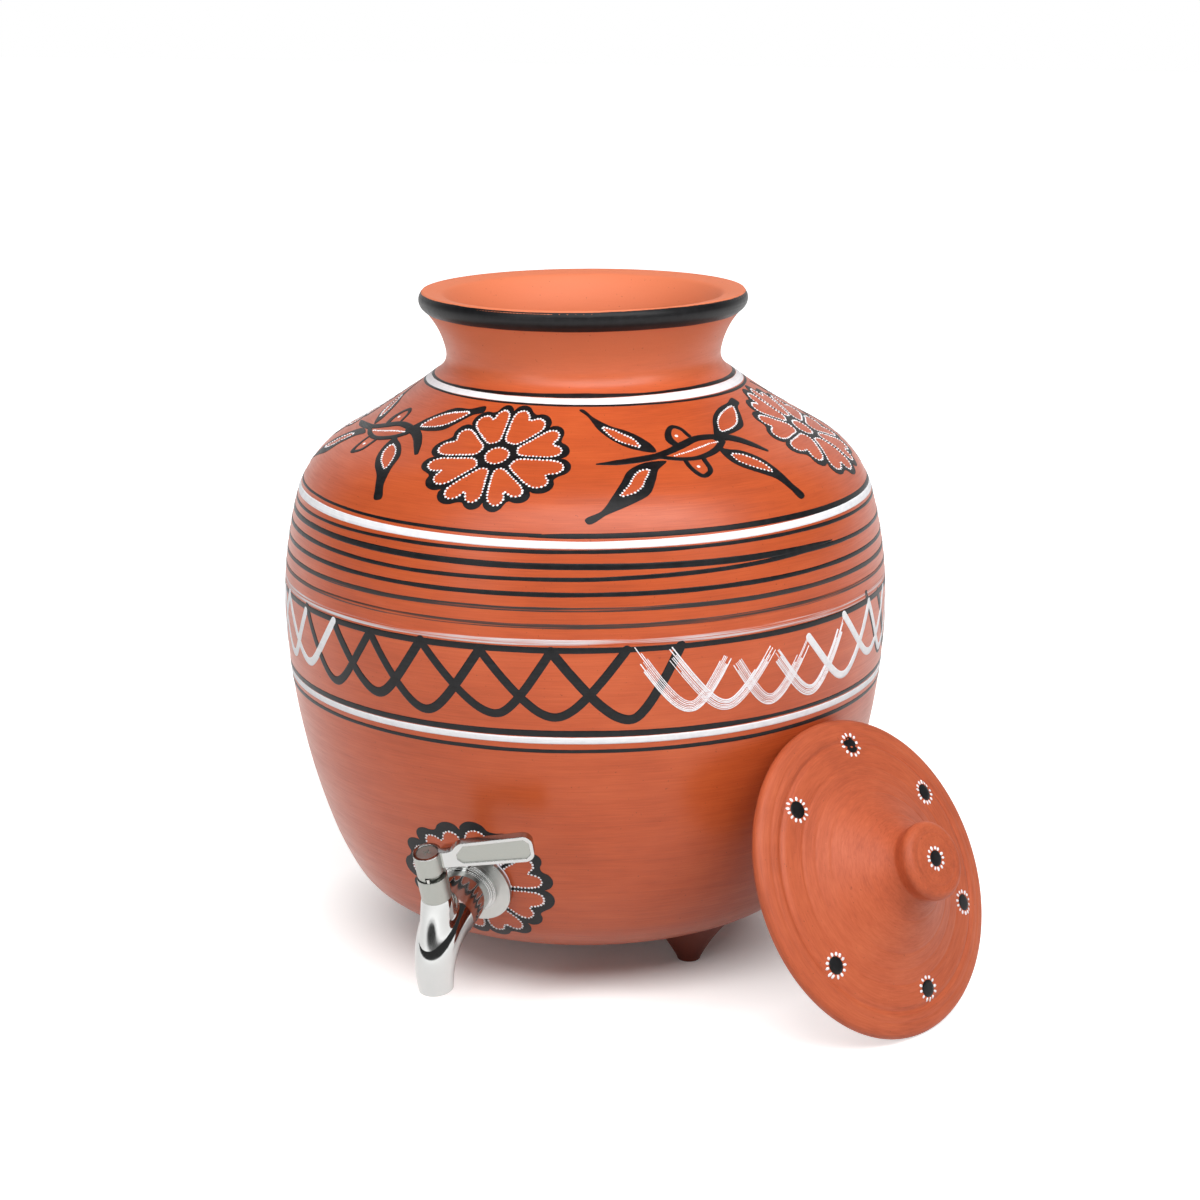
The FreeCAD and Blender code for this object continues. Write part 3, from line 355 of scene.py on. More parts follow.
# Painted light: up the neck and into the mouth the clay is mixed towards a paler tone. This stands
# in for the light thrown up under the rim, and is partly a paler unburnished clay.
NECK_LOW, NECK_HIGH = 0.408, 0.444      # metres along the outline, where the neck grows paler
ROUGH_LOW, ROUGH_HIGH = 0.415, 0.470    # and where the clay isn't burnished any more


def clay(tree, light, middle, dark, neck=None):
    """Brushed terracotta: fine streaks that run round, mottling, grit.  Colour, normal, tone."""
    place = tree.place()
    fine = tree.streaks(60, 1400, 3.0, 0.6)
    broad = tree.streaks(16, 210, 3.0, 0.55)
    mottle = tree.noise(place, 16.0, 4.0, 0.6)
    grit = tree.noise(place, 1500.0, 2.0, 0.6)
    tone = tree.weigh((fine, 0.34), (broad, 0.26), (mottle, 0.40))
    colour = tree.mix(tree.span(tone, 0.34, 0.50, 0, 1), srgb(dark), srgb(middle))
    colour = tree.mix(tree.span(tone, 0.50, 0.68, 0, 1), colour, srgb(light))
    # Painted light: the neck and the mouth grow paler towards the top, partly a paler unburnished
    # clay.
    if neck is not None:
        painted_neck_light = tree.span(tree.height(), NECK_LOW, NECK_HIGH, 0, 1)
        colour = tree.mix(painted_neck_light, colour, srgb(neck))
    specks = tree.span(grit, 0.70, 0.82, 0, 0.4)
    colour = tree.mix(specks, colour, srgb([min(255, part + 40) for part in light]))
    pits = tree.span(tree.noise(place, 800.0, 1.0, 0.5), 0.27, 0.20, 0, 0.5)
    colour = tree.mix(pits, colour, srgb(dark, 0.6))
    normal = tree.bump(fine, 0.00004)
    normal = tree.bump(broad, 0.00010, normal)
    normal = tree.bump(grit, 0.00002, normal)
    return colour, normal, tone


# The fourth tone is the neck's paler one: painted light on the neck and in the mouth, partly a
# paler unburnished clay.
POT_TONES = ((202, 94, 48), (187, 81, 39), (168, 70, 32), (222, 122, 82))
LID_TONES = ((197, 99, 60), (181, 84, 48), (157, 69, 38))
# The feet's tones are much darker than the pot's: painted shade, for the feet stand in the pot's
# shadow.
FOOT_SHADE_TONES = ((120, 48, 26), (96, 36, 19), (70, 26, 14))
CLAY_SHINE = 0.42
PAINT_SHINE = 0.22


def clay_material(name, tones, roughness=0.33):
    tree = new_tree(name)
    colour, normal, tone = clay(tree, *tones)
    rough = tree.vary(tone, roughness + 0.10, roughness - 0.06)
    rough = tree.math("ADD", rough, tree.span(tree.height(), ROUGH_LOW, ROUGH_HIGH, 0, 0.3))
    return tree.finish(Base_Color=colour, Roughness=rough, Specular_IOR_Level=CLAY_SHINE,
                       Normal=normal)


def paint_material(name, colour, other, roughness):
    """Thick brushed paint: streaks along the wheel, an uneven skin."""
    tree = new_tree(name)
    streaks = tree.streaks(12, 1500, 3.0, 0.6)
    blotch = tree.noise(tree.place(), 260.0, 3.0, 0.6)
    tone = tree.weigh((streaks, 0.5), (blotch, 0.5))
    mixed = tree.mix(tree.span(tone, 0.42, 0.72, 0, 1), srgb(colour), srgb(other))
    normal = tree.bump(blotch, 0.00006, tree.bump(streaks, 0.00005))
    rough = tree.vary(tone, roughness - 0.08, roughness + 0.10)
    return tree.finish(Base_Color=mixed, Roughness=rough, Specular_IOR_Level=PAINT_SHINE,
                       Normal=normal)


def wash_material(name, colour, low, high, around=14.0, along=1500.0):
    """Thin paint dragged by a dry brush: streaks of it with the clay between them."""
    tree = new_tree(name)
    under, normal, _ = clay(tree, *POT_TONES)
    streaks = tree.streaks(around, along, 2.0, 0.55)
    patches = tree.streaks(22, 90, 2.0, 0.5)
    cover = tree.span(tree.weigh((streaks, 0.7), (patches, 0.3)), low, high, 0, 1)
    return tree.finish(Base_Color=tree.mix(cover, under, srgb(colour)), Roughness=0.5,
                       Specular_IOR_Level=CLAY_SHINE, Normal=normal)


def metal_material(name, colour, roughness, grain=0.0):
    """Steel with faint smears, and grain where it isn't polished."""
    tree = new_tree(name)
    place = tree.place()
    smear = tree.noise(place, 90.0, 3.0, 0.6)
    grit = tree.noise(place, 900.0, 2.0, 0.6)
    rough = tree.math("ADD", tree.vary(smear, roughness * 0.8, roughness * 1.25),
                      tree.product(grit, grain * 0.25))
    return tree.finish(Base_Color=tree.mix(smear, srgb(colour), srgb(colour, 0.96)), Metallic=1.0,
                       Roughness=rough, Normal=tree.bump(grit, 0.00004 * grain) if grain else None)


# The tap's frame: it points OUT of its seat on the pot, and its stem stands square to that.
TAP_SEAT = np.array([0, -130.7, 64.5])
TAP_TILT = math.radians(19.3756)
OUT = np.array([0, -math.cos(TAP_TILT), -math.sin(TAP_TILT)])
STEM_UP = np.array([0, -math.sin(TAP_TILT), math.cos(TAP_TILT)])
RIGHT = np.array([1, 0, 0])
STEM_REACH = 31.3
STEM_FOOT = TAP_SEAT + STEM_REACH * OUT
LEVER_TURN = math.radians(20)
ARM_ALONG = math.cos(LEVER_TURN) * RIGHT - math.sin(LEVER_TURN) * OUT
ARM_ACROSS = math.sin(LEVER_TURN) * RIGHT + math.cos(LEVER_TURN) * OUT

# The satin places: the hub and the boss, and the lever's sunk panel.
HUB_RADIUS, HUB_LOW, HUB_HIGH = 7.3, 17.0, 42.2
PANEL_HALF, PANEL_LOW, PANEL_HIGH = 1.75, 35.3, 45.9
PANEL_START, PANEL_END = 13.2, 47.0
SATIN_EDGE = 0.1


def tap_material(name, bright, satin):
    """Polished steel, with the hub's side, the boss and the lever's sunk panel left satin."""
    tree = new_tree(name)
    place = tree.place()
    local = tree.vector("SUBTRACT", "Vector", place, tuple(STEM_FOOT * MM))

    def reach(direction):
        metres = tree.vector("DOT_PRODUCT", "Value", local, tuple(direction))
        return tree.product(metres, 1 / MM)

    def within(given, low, high):
        return tree.product(tree.span(given, low - SATIN_EDGE, low + SATIN_EDGE, 0, 1),
                            tree.span(given, high - SATIN_EDGE, high + SATIN_EDGE, 1, 0))

    up, along, across = reach(STEM_UP), reach(ARM_ALONG), reach(ARM_ACROSS)
    beside = tree.math("SQRT", tree.math("ADD", tree.product(along, along),
                                         tree.product(across, across)))
    hub = tree.product(within(beside, -HUB_RADIUS, HUB_RADIUS), within(up, HUB_LOW, HUB_HIGH))
    panel = tree.product(within(across, -PANEL_HALF, PANEL_HALF),
                         within(up, PANEL_LOW, PANEL_HIGH), within(along, PANEL_START, PANEL_END))
    dull = tree.math("MAXIMUM", hub, panel)

    grit = tree.noise(place, 1500.0, 2.0, 0.6)
    smear = tree.noise(place, 90.0, 3.0, 0.6)
    rough = tree.between(dull, tree.vary(smear, 0.05, 0.10),
                         tree.vary(grit, 0.30, 0.42))
    tint = tree.mix(smear, srgb(bright), srgb(bright, 0.95))
    edge = tree.node("Bevel", {"samples": 6}, Radius=0.0005).outputs["Normal"]
    normal = tree.bump(tree.product(grit, dull), 0.00003, edge)
    return tree.finish(Base_Color=tree.mix(dull, tint, srgb(satin)), Metallic=1.0,
                       Roughness=rough, Normal=normal)


def plain_material(name, colour, roughness):
    """Rubber or plastic with a faint skin."""
    tree = new_tree(name)
    place = tree.place()
    skin = tree.noise(place, 1400.0, 2.0, 0.6)
    blotch = tree.noise(place, 120.0, 2.0, 0.5)
    return tree.finish(Base_Color=tree.mix(blotch, srgb(colour), srgb(colour, 0.93)),
                       Roughness=tree.vary(skin, roughness - 0.05, roughness + 0.05),
                       Normal=tree.bump(skin, 0.00002))


CLAY = clay_material("brushed_terracotta", POT_TONES)
# The feet's clay, darkened: painted shade.
FOOT_SHADED_CLAY = clay_material("foot_terracotta_painted_shade", FOOT_SHADE_TONES, 0.6)
LID_CLAY = clay_material("lid_terracotta", LID_TONES, 0.55)
BLACK_PAINT = paint_material("black_paint", (15, 15, 17), (33, 33, 35), 0.40)
WHITE_PAINT = paint_material("white_paint", (240, 240, 243), (222, 222, 227), 0.5)
BLACK_WASH = wash_material("thin_black_paint", (38, 30, 28), 0.28, 0.42)
FAINT_WASH = wash_material("faint_black_paint", (56, 38, 32), 0.34, 0.51)
WHITE_WASH = wash_material("thin_white_paint", (214, 214, 218), 0.42, 0.60)
DRY_WHITE = wash_material("dry_white_paint", (240, 238, 242), 0.16, 0.44, 300.0, 1400.0)
TAP_STEEL = tap_material("tap_steel", (180, 181, 180), (149, 151, 146))
POLISHED = metal_material("polished_steel", (214, 214, 212), 0.07)
BRUSHED = metal_material("brushed_steel", (178, 179, 176), 0.24, 0.6)
SATIN = metal_material("satin_steel", (190, 190, 186), 0.34, 1.0)
PLAIN_STEEL = metal_material("plain_steel", (176, 177, 178), 0.30, 0.7)
SILICONE = plain_material("white_silicone", (214, 216, 224), 0.42)
RUBBER = plain_material("black_rubber", (26, 26, 27), 0.6)
PTFE = plain_material("white_plastic", (236, 236, 232), 0.45)

# ---- painting on the pot

FRONT = 25.0        # azimuth of a map's middle
SHOULDER = 105.0    # radius at which the shoulder's map is as wide as the pot
BELLY = 150.0       # and the belly's
TAP_MAP = 131.0     # and the radius at the tap's flower
BLACK_LIFT = 0.10
WHITE_LIFT = 0.16
DOT_LIFT = 0.26
SUNK = -0.08         # where an edge of paint goes into the clay
COARSE = 2.2         # the mesh's step in bands and in flat shapes


class Layer:
    """One painted piece: strokes, filled shapes and dots of one kind on the pot."""

    def __init__(self, name, material, radius, lift):
        self.name = name
        self.material = material
        self.radius = radius
        self.lift = lift
        self.points = []
        self.faces = []
        self.count = 0

    def add(self, x, s, lift, faces):
        azimuth = FRONT + np.degrees(np.asarray(x) / self.radius)
        azimuth, s, lift = np.broadcast_arrays(azimuth, s, lift)
        self.points.append(np.stack([azimuth, s, lift], -1).reshape(-1, 3))
        self.faces += [tuple(int(i) + self.count for i in face) for face in faces]
        self.count += len(self.points[-1])

    def strip(self, edge_a, edge_b):
        """A stroke between two edges, thin at both."""
        widest = np.linalg.norm(edge_a - edge_b, axis=1).max()
        middle = np.linspace(0.2, 0.8, max(3, int(widest / 0.8)))
        share = np.r_[0.0, 0.04, middle, 0.96, 1.0]
        lift = np.r_[SUNK, 0.6 * self.lift, np.full(len(middle), self.lift), 0.6 * self.lift, SUNK]
        grid = edge_a[:, None] * (1 - share)[None, :, None] + edge_b[:, None] * share[None, :, None]
        faces = quads(len(edge_a), len(share))
        self.add(grid[..., 0], grid[..., 1], lift[None, :], faces)

    def stroke(self, line, width, step=1.0):
        """A brush stroke along a line of points; width is one number, or one at each point."""
        line = np.asarray(line, float)
        place = lengths(line)
        count = max(4, int(place[-1] / step))
        t = np.linspace(0, place[-1], count + 1)
        smooth = spline(line, t)
        wide = np.interp(t, place, np.broadcast_to(width, len(line)))
        tangent, side = headings(smooth)
        turns = np.radians([85, 60, 35, 15])
        reach = np.sin(turns)[:, None] / 2
        head = smooth[0] - tangent[0] * wide[0] * reach
        tail = smooth[-1] + tangent[-1] * wide[-1] * reach[::-1]
        wide = np.r_[wide[0] * np.cos(turns), wide, wide[-1] * np.cos(turns[::-1])]
        smooth = np.concatenate([head, smooth, tail])
        side = np.pad(side, ((len(turns), len(turns)), (0, 0)), "edge") * wide[:, None] / 2
        self.strip(smooth + side, smooth - side)

    def band(self, edges, seed, ring=True, wobble=0.18):
        """A band round the pot from rows of x, low edge, high edge."""
        edges = np.asarray(edges, float)
        half = math.pi * self.radius
        if ring:
            x = np.linspace(-half, half, int(2 * half / COARSE) + 1)
        else:
            x = np.arange(edges[0, 0], edges[-1, 0], COARSE)
        low, high = (np.interp(x, edges[:, 0], edges[:, 1 + i], period=2 * half if ring else None)
                     + wander(x / self.radius, seed + i) * wobble for i in (0, 1))
        high = np.maximum(high, low + 0.05)
        self.strip(np.stack([x, high], 1), np.stack([x, low], 1))

    def level(self, low, high, seed):
        """A ring of one width."""
        self.band([(0, low, high), (1, low, high)], seed, wobble=0.3)

    def fill(self, loops):
        """A flat shape between closed loops, those inside others being holes."""
        corners = np.concatenate(loops)
        edges = []
        start = 0
        for loop in loops:
            count = len(loop)
            edges += [(start + i, start + (i + 1) % count) for i in range(count)]
            start += count
        low, high = corners.min(0), corners.max(0)
        x, s = (np.arange(low[i] + COARSE / 2, high[i], COARSE) for i in (0, 1))
        lattice = np.stack(np.meshgrid(x, s), -1).reshape(-1, 2)
        lattice = lattice[inside(lattice, loops)]
        away = np.min(np.linalg.norm(lattice[:, None] - corners[None], axis=2), axis=1)
        lattice = lattice[away > COARSE * 0.45]
        given = [Vector(p) for p in np.concatenate([corners, lattice])]
        found = delaunay_2d_cdt(given, edges, [], 0, 1e-5)
        points = np.array([tuple(p) for p in found[0]])
        faces = np.array([face for face in found[2] if len(face) == 3])
        faces = faces[inside(points[faces].mean(1), loops)]
        a, b, c = (points[faces[:, i]] for i in range(3))
        flipped = (b - a)[:, 0] * (c - a)[:, 1] - (b - a)[:, 1] * (c - a)[:, 0] < 0
        faces[flipped] = faces[flipped][:, ::-1]
        self.add(points[:, 0], points[:, 1], self.lift, faces)
        self.skirt(faces, points)

    def skirt(self, faces, points):
        """Close a flat shape down into the clay along its open edges."""
        seen = dict.fromkeys(edge for a, b, c in faces for edge in ((a, b), (b, c), (c, a)))
        open_edges = [edge for edge in seen if edge[::-1] not in seen]
        used = sorted({i for edge in open_edges for i in edge})
        number = {point: i for i, point in enumerate(used)}
        rim = points[used]
        count = len(used)
        walls = [(number[b], number[a], count + number[a], count + number[b])
                 for a, b in open_edges]
        self.add(np.tile(rim[:, 0], 2), np.tile(rim[:, 1], 2),
                 np.repeat([self.lift, SUNK], count), walls)

    def dot(self, x, s, radius):
        """A small round blob of paint."""
        width = self.radius / np.interp(s, ALONG, OUTSIDE[:, 0])
        dx, ds, lift, faces = dome(8, (1.0, 0.9, 0.55), (SUNK, 0.12, self.lift, self.lift * 1.15))
        self.add(x + radius * width * dx, s + radius * ds, lift, faces)

    def make(self):
        azimuth, s, lift = np.concatenate(self.points).T
        piece = make_object(self.name, surf(azimuth, s, lift), self.faces, self.material,
                            wheel=turned(WHEEL_RADIUS, azimuth, s))
        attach(piece, "pot")


def spline(line, t):
    """A smooth curve through points, read at distances along their straight runs."""
    place = lengths(line)
    slope = np.gradient(line, place, axis=0)
    k = np.clip(np.searchsorted(place, t, side="right") - 1, 0, len(line) - 2)
    span = (place[k + 1] - place[k])[:, None]
    u = ((t - place[k])[:, None]) / span
    return ((2 * u ** 3 - 3 * u ** 2 + 1) * line[k] + (u ** 3 - 2 * u ** 2 + u) * span * slope[k]
            + (3 * u ** 2 - 2 * u ** 3) * line[k + 1] + (u ** 3 - u ** 2) * span * slope[k + 1])


def closed(points, step=0.9):
    """A smooth closed loop through points."""
    points = np.asarray(points, float)
    around = np.concatenate([points[-3:], points, points[:4]])
    place = lengths(around)
    start, end = place[3], place[3 + len(points)]
    t = np.linspace(start, end, max(8, int((end - start) / step)) + 1)[:-1]
    return spline(around, t)


def inside(points, loops):
    """Whether each point lies inside an odd number of loops."""
    hits = np.zeros(len(points), bool)
    for loop in loops:
        following = np.roll(loop, -1, axis=0)
        for (ax, ay), (bx, by) in zip(loop, following):
            if ay == by:
                continue
            crossing = (points[:, 1] > min(ay, by)) & (points[:, 1] <= max(ay, by))
            x = ax + (points[:, 1] - ay) * (bx - ax) / (by - ay)
            hits ^= crossing & (points[:, 0] < x)
    return hits


def wander(turn, seed):
    """A slow unevenness of the hand as a line goes round, the same each time."""
    draw = random.Random(seed)
    total = np.zeros_like(turn)
    for waves in (2, 3, 5, 9, 17, 31):
        total += math.sqrt(3 / waves) * draw.uniform(0.3, 1) * np.sin(
            waves * turn + draw.uniform(0, 2 * math.pi))
    return total / 2


def dots_along(layer, loop, spacing, radius, draw, shut=True):
    """A row of dots along a line."""
    line = np.concatenate([loop, loop[:1]]) if shut else loop
    place = lengths(line)
    count = int(place[-1] / spacing)
    for t in (np.arange(count) + 0.5) * place[-1] / count:
        x = np.interp(t, place, line[:, 0]) + draw.uniform(-0.12, 0.12)
        s = np.interp(t, place, line[:, 1]) + draw.uniform(-0.12, 0.12)
        layer.dot(x, s, radius * draw.uniform(0.82, 1.15))


# One petal of a flower: its clay heart by radius and share of the half angle, from tip to notch.
HEART = [(9.3, 0.0), (9.5, 0.55), (10.5, 0.9), (13.0, 1.0), (18.0, 1.0), (23.0, 1.0), (26.8, 0.96),
         (29.4, 0.84), (30.8, 0.66), (31.0, 0.48), (30.0, 0.28), (27.8, 0.12), (26.2, 0.0)]
# Its black outside, from a spoke to the middle.
LOBE = [(30.2, 1.0), (32.4, 0.88), (33.9, 0.70), (34.2, 0.50), (33.2, 0.28), (31.4, 0.10)]
SPOKE_HALF = 1.0


def flower(black, dots, x, s, spokes, draw, across=1.0, along=1.0, petal=1.0):
    """A flower of heart petals round a ring, white dots inside every edge."""

    def at(radius, angle):
        return np.array([x + across * radius * math.cos(angle),
                         s + along * radius * math.sin(angle)])

    outline = []
    holes = []
    ends = spokes[1:] + [spokes[0] + 360]
    for first, last in zip(spokes, ends):
        middle = math.radians((first + last) / 2)
        half = math.radians((last - first) / 2)
        sizes = [draw.uniform(0.95, 1.03), draw.uniform(0.95, 1.03)]
        lean = draw.uniform(-0.12, 0.12)
        for side, size, rows in ((-1, sizes[0], LOBE), (1, sizes[1], LOBE[::-1])):
            for radius, share in rows:
                turn = (side * share + lean * (1 - share)) * half
                outline.append(at(radius * (0.4 + 0.6 * size), middle + turn))
        heart = []
        for side, size, rows in ((1, sizes[1], HEART), (-1, sizes[0], HEART[-2:0:-1])):
            for radius, share in rows:
                turn = side * share * (half - SPOKE_HALF / radius)
                if share < 0.6 and radius > 20:
                    turn += lean * half * 0.3
                grown = radius if radius < 14 else radius * size * petal
                heart.append(at(grown, middle + turn))
        holes.append(closed(heart))
    ring = [at(5.7 * draw.uniform(0.95, 1.05), math.radians(a)) for a in range(0, 360, 30)]
    holes.append(closed(ring))
    black.fill([closed(outline)] + holes)
    for hole in holes:
        middle = hole.mean(0)
        dots_along(dots, middle + (hole - middle) * 0.985, 1.65, 0.62, draw)


# A sprig about its middle: black shapes, clay lenses in its leaves, brush strokes.
LEAVES = [
    [(-19.6, -0.6), (-28.9, 1.6), (-37.9, 6.8), (-45.0, 15.3), (-51.4, 24.6), (-55.0, 28.6),
     (-54.6, 28.9), (-47.5, 23.6), (-39.5, 18.2), (-30.5, 14.2), (-24.2, 8.8), (-20.2, 2.8)],
    [(-20.5, -6.6), (-28.5, -8.0), (-34.8, -12.6), (-38.8, -19.5), (-42.6, -27.5),
     (-47.2, -35.2), (-52.5, -40.7), (-52.0, -41.2), (-45.0, -36.9), (-36.0, -32.6),
     (-29.0, -28.0), (-25.2, -20.2), (-22.0, -12.4), (-17.0, -7.6)],
    [(14.2, 4.2), (17.8, 11.0), (24.2, 17.6), (33.0, 22.4), (44.0, 23.9), (54.6, 25.6),
     (55.4, 23.0), (49.0, 20.4), (43.0, 13.6), (38.2, 8.4), (29.5, 5.8), (20.5, 4.6)],
    [(12.0, -1.8), (11.2, -9.4), (14.6, -16.8), (20.5, -22.6), (26.4, -27.6), (30.4, -34.6),
     (33.2, -40.4), (35.4, -39.6), (33.0, -31.4), (30.6, -22.4), (27.6, -13.0), (21.6, -6.4),
     (14.6, -3.2)],
]
LENSES = [
    [(-44.6, 18.4), (-40.2, 17.0), (-33.0, 12.6), (-27.0, 7.4), (-25.2, 2.0), (-31.0, 4.2),
     (-37.6, 8.4), (-42.4, 14.0)],
    [(-25.3, -10.8), (-30.2, -12.0), (-33.8, -16.8), (-36.6, -22.4), (-40.8, -29.4),
     (-35.6, -28.0), (-31.4, -24.6), (-28.4, -18.4)],
    [(18.6, 6.8), (21.4, 12.8), (27.4, 17.6), (35.4, 20.8), (47.8, 22.2), (42.0, 15.2),
     (35.6, 10.2), (27.0, 7.4)],
    [(14.4, -6.6), (14.4, -11.4), (18.6, -17.4), (24.4, -22.2), (28.2, -24.6), (27.4, -17.4),
     (23.4, -11.0), (18.4, -7.2)],
]
SPRIG_STROKES = [
    ([(-47.6, -7.3), (-39.2, -6.6), (-29.0, -5.2), (-18.6, -3.4)], [0.8, 2.8, 3.4, 3.2]),
    ([(-19.5, -3.2), (-13.0, -0.8), (-5.0, 2.6), (3.0, 5.4), (10.5, 5.6), (17.6, 4.4)],
     [3.0, 3.0, 3.4, 3.0, 3.0, 3.2]),
    ([(-19.0, -4.4), (-11.5, -6.6), (-3.3, -7.3), (4.4, -5.6), (11.1, -2.6), (16.6, 1.6)],
     [2.2, 2.0, 2.2, 2.6, 2.8, 2.8]),
    ([(14.5, 4.2), (21.0, 3.4), (26.6, 0.4), (31.6, -4.4), (35.6, -9.6)],
     [3.6, 4.0, 4.0, 3.4, 1.8]),
    ([(-8.2, 2.2), (-10.4, 6.4), (-9.2, 11.4), (-5.2, 14.8), (-1.6, 13.2), (0.8, 7.8)],
     [3.0, 3.6, 2.6, 1.9, 1.9, 2.0]),
    ([(-8.6, -7.4), (-8.0, -13.6), (-4.6, -19.6), (-1.0, -17.4), (0.4, -7.8)],
     [1.8, 1.8, 2.1, 1.9, 2.0]),
]
POD_DOTS = [(-12.8, -4.4), (-5.6, -2.7), (1.6, -0.6), (8.0, 1.0), (14.4, 1.6)]
SPRIG_DOTS = [(-5.9, 8.6), (-4.4, -13.0)]
LENS_SHARE = 0.86   # of the lens as drawn, so that the black shows round it
BRUSH = 1.3


def sprig(black, dots, x, s, draw):
    """A stem with a pod, two loops and four leaves."""
    here = np.array([x, s])
    for leaf, lens in zip(LEAVES, LENSES):
        hole = closed(here + lens)
        hole = hole.mean(0) + (hole - hole.mean(0)) * LENS_SHARE
        shaken = [here + point + [draw.uniform(-0.4, 0.4), draw.uniform(-0.4, 0.4)]
                  for point in leaf]
        black.fill([closed(shaken), hole])
        dots_along(dots, hole, 1.6, 0.6, draw)
    for line, width in SPRIG_STROKES:
        black.stroke(here + line, np.array(width) * BRUSH)
    dots_along(dots, here + POD_DOTS, 1.25, 0.52, draw, shut=False)
    for px, ps in SPRIG_DOTS:
        dots.dot(x + px, s + ps, 0.9)


def scallops(layer, width, seed, rows, bristles=0):
    """Rows of U-shaped strokes, each row hung from peak to peak through the troughs between
    them; dry ones split into bristle marks."""
    sharp = 0.4
    share = np.linspace(-1, 1, 25)
    rise = (np.sqrt(share ** 2 + sharp ** 2) - sharp) / (math.sqrt(1 + sharp ** 2) - sharp)
    for number, row in enumerate(rows):
        draw = random.Random(seed + number)
        for left, trough, right in zip(row[:-2:2], row[1:-1:2], row[2::2]):
            reach = np.where(share < 0, trough[0] - left[0], right[0] - trough[0])
            top = np.where(share < 0, left[1], right[1])
            line = np.stack([trough[0] + share * reach, trough[1] + (top - trough[1]) * rise], 1)
            if not bristles:
                layer.stroke(line, width * draw.uniform(0.92, 1.08), step=1.3)
                continue
            side = headings(line)[1]
            for i in range(bristles):
                away = (i + 0.5) / bristles - 0.5
                start = draw.randint(0, 3)
                end = len(line) - draw.randint(0, 4)
                offset = away * width + draw.uniform(-0.1, 0.1)
                wide = width / bristles * draw.uniform(0.4, 0.95)
                layer.stroke((line + side * offset)[start:end], wide, step=1.3)


WAVE_WIDTH, WHITE_WAVE_WIDTH, DRY_WIDTH, BRISTLES = 4.5, 3.8, 5.4, 7
ROUND = 2 * math.pi * SHOULDER      # once round the pot on the shoulder's map


def paint_rings(layer):
    """The rings and bands, the brush's unevenness in their edges."""
    rings = layer("painted_black_rings", BLACK_PAINT, SHOULDER, BLACK_LIFT)
    rings.band([(-120, 411.6, 413.2), (-60, 411.6, 413.8), (0, 411.2, 414.6), (40, 411.6, 413.2),
                (60, 411.9, 413.4), (100, 411.6, 413.8), (200, 411.6, 413.6),
                (300, 411.4, 414.0)], 1)
    rings.band([(-120, 406.8, 408.2), (0, 405.7, 407.0), (60, 405.0, 406.2), (120, 404.4, 406.2),
                (220, 405.4, 407.0), (300, 406.2, 407.6)], 3)
    rings.band([(-330, 328.0, 330.0), (-120, 329.0, 330.4), (-90, 328.2, 329.8),
                (-14, 327.0, 328.8)], 5, ring=False)
    rings.band([(-20, 326.8, 328.4), (-8, 326.4, 329.0), (60, 326.2, 329.0), (130, 325.8, 328.6),
                (250, 326.6, 329.0), (330, 327.9, 330.0), (344, 328.4, 329.9)], 7, ring=False)
    rings.band([(-120, 314.2, 317.0), (-60, 313.0, 316.0), (0, 312.5, 315.5), (60, 311.2, 314.3),
                (85, 311.0, 313.6), (97, 312.0, 312.6)], 9, ring=False)
    rings.band([(-500, 315.2, 315.6), (-470, 314.4, 316.8), (-114, 314.1, 316.9)], 10, ring=False)
    rings.band([(-120, 308.0, 310.2), (-60, 306.9, 309.0), (0, 307.4, 309.4), (60, 309.0, 311.0),
                (80, 310.0, 312.2), (100, 309.6, 311.6), (125, 309.4, 311.4), (220, 308.6, 310.8),
                (300, 308.2, 310.6)], 11)
    rings.level(300.6, 302.8, 13)
    rings.level(319.7, 321.4, 27)
    lower = layer("painted_lower_rings", BLACK_PAINT, BELLY, BLACK_LIFT)
    lower.band([(-160, 275.2, 278.0), (0, 275.1, 278.0), (160, 275.3, 278.4),
                (400, 275.2, 278.0)], 15)
    lower.band([(-160, 235.8, 238.6), (0, 235.8, 239.0), (60, 235.8, 238.6), (90, 236.2, 238.0),
                (300, 236.0, 238.8)], 17)
    lower.level(228.0, 230.0, 19)

    white = layer("painted_white_rings", WHITE_PAINT, SHOULDER, WHITE_LIFT)
    white.band([(-120, 408.0, 412.0), (-60, 407.6, 411.6), (0, 407.0, 411.0), (60, 406.6, 411.6),
                (120, 406.6, 411.6), (220, 407.0, 411.2), (300, 407.6, 411.6)], 21)
    white.band([(-120, 323.6, 327.4), (-60, 322.8, 326.4), (0, 321.8, 325.4), (60, 322.0, 325.6),
                (120, 322.6, 326.4), (220, 322.4, 326.0), (300, 323.0, 326.8)], 23)
    low_white = layer("painted_low_white_ring", WHITE_PAINT, BELLY, WHITE_LIFT)
    low_white.band([(-160, 232.4, 235.6), (0, 232.3, 235.5), (160, 232.2, 235.6),
                    (300, 232.4, 235.4)], 25)

    for name, wash, radius, low, high, seed in (
            ("painted_thin_rings", BLACK_WASH, SHOULDER, 293.6, 295.8, 29),
            ("painted_faint_rings", FAINT_WASH, SHOULDER, 286.3, 288.5, 31),
            ("painted_pale_ring", WHITE_WASH, BELLY, 278.7, 281.5, 33)):
        layer(name, wash, radius, BLACK_LIFT).level(low, high, seed)

    rim = layer("painted_rim_band", BLACK_PAINT, SHOULDER, BLACK_LIFT)
    rim.band([(0, 447.4, 459.2), (150, 447.0, 459.0), (300, 447.6, 459.3)], 35, wobble=0.3)


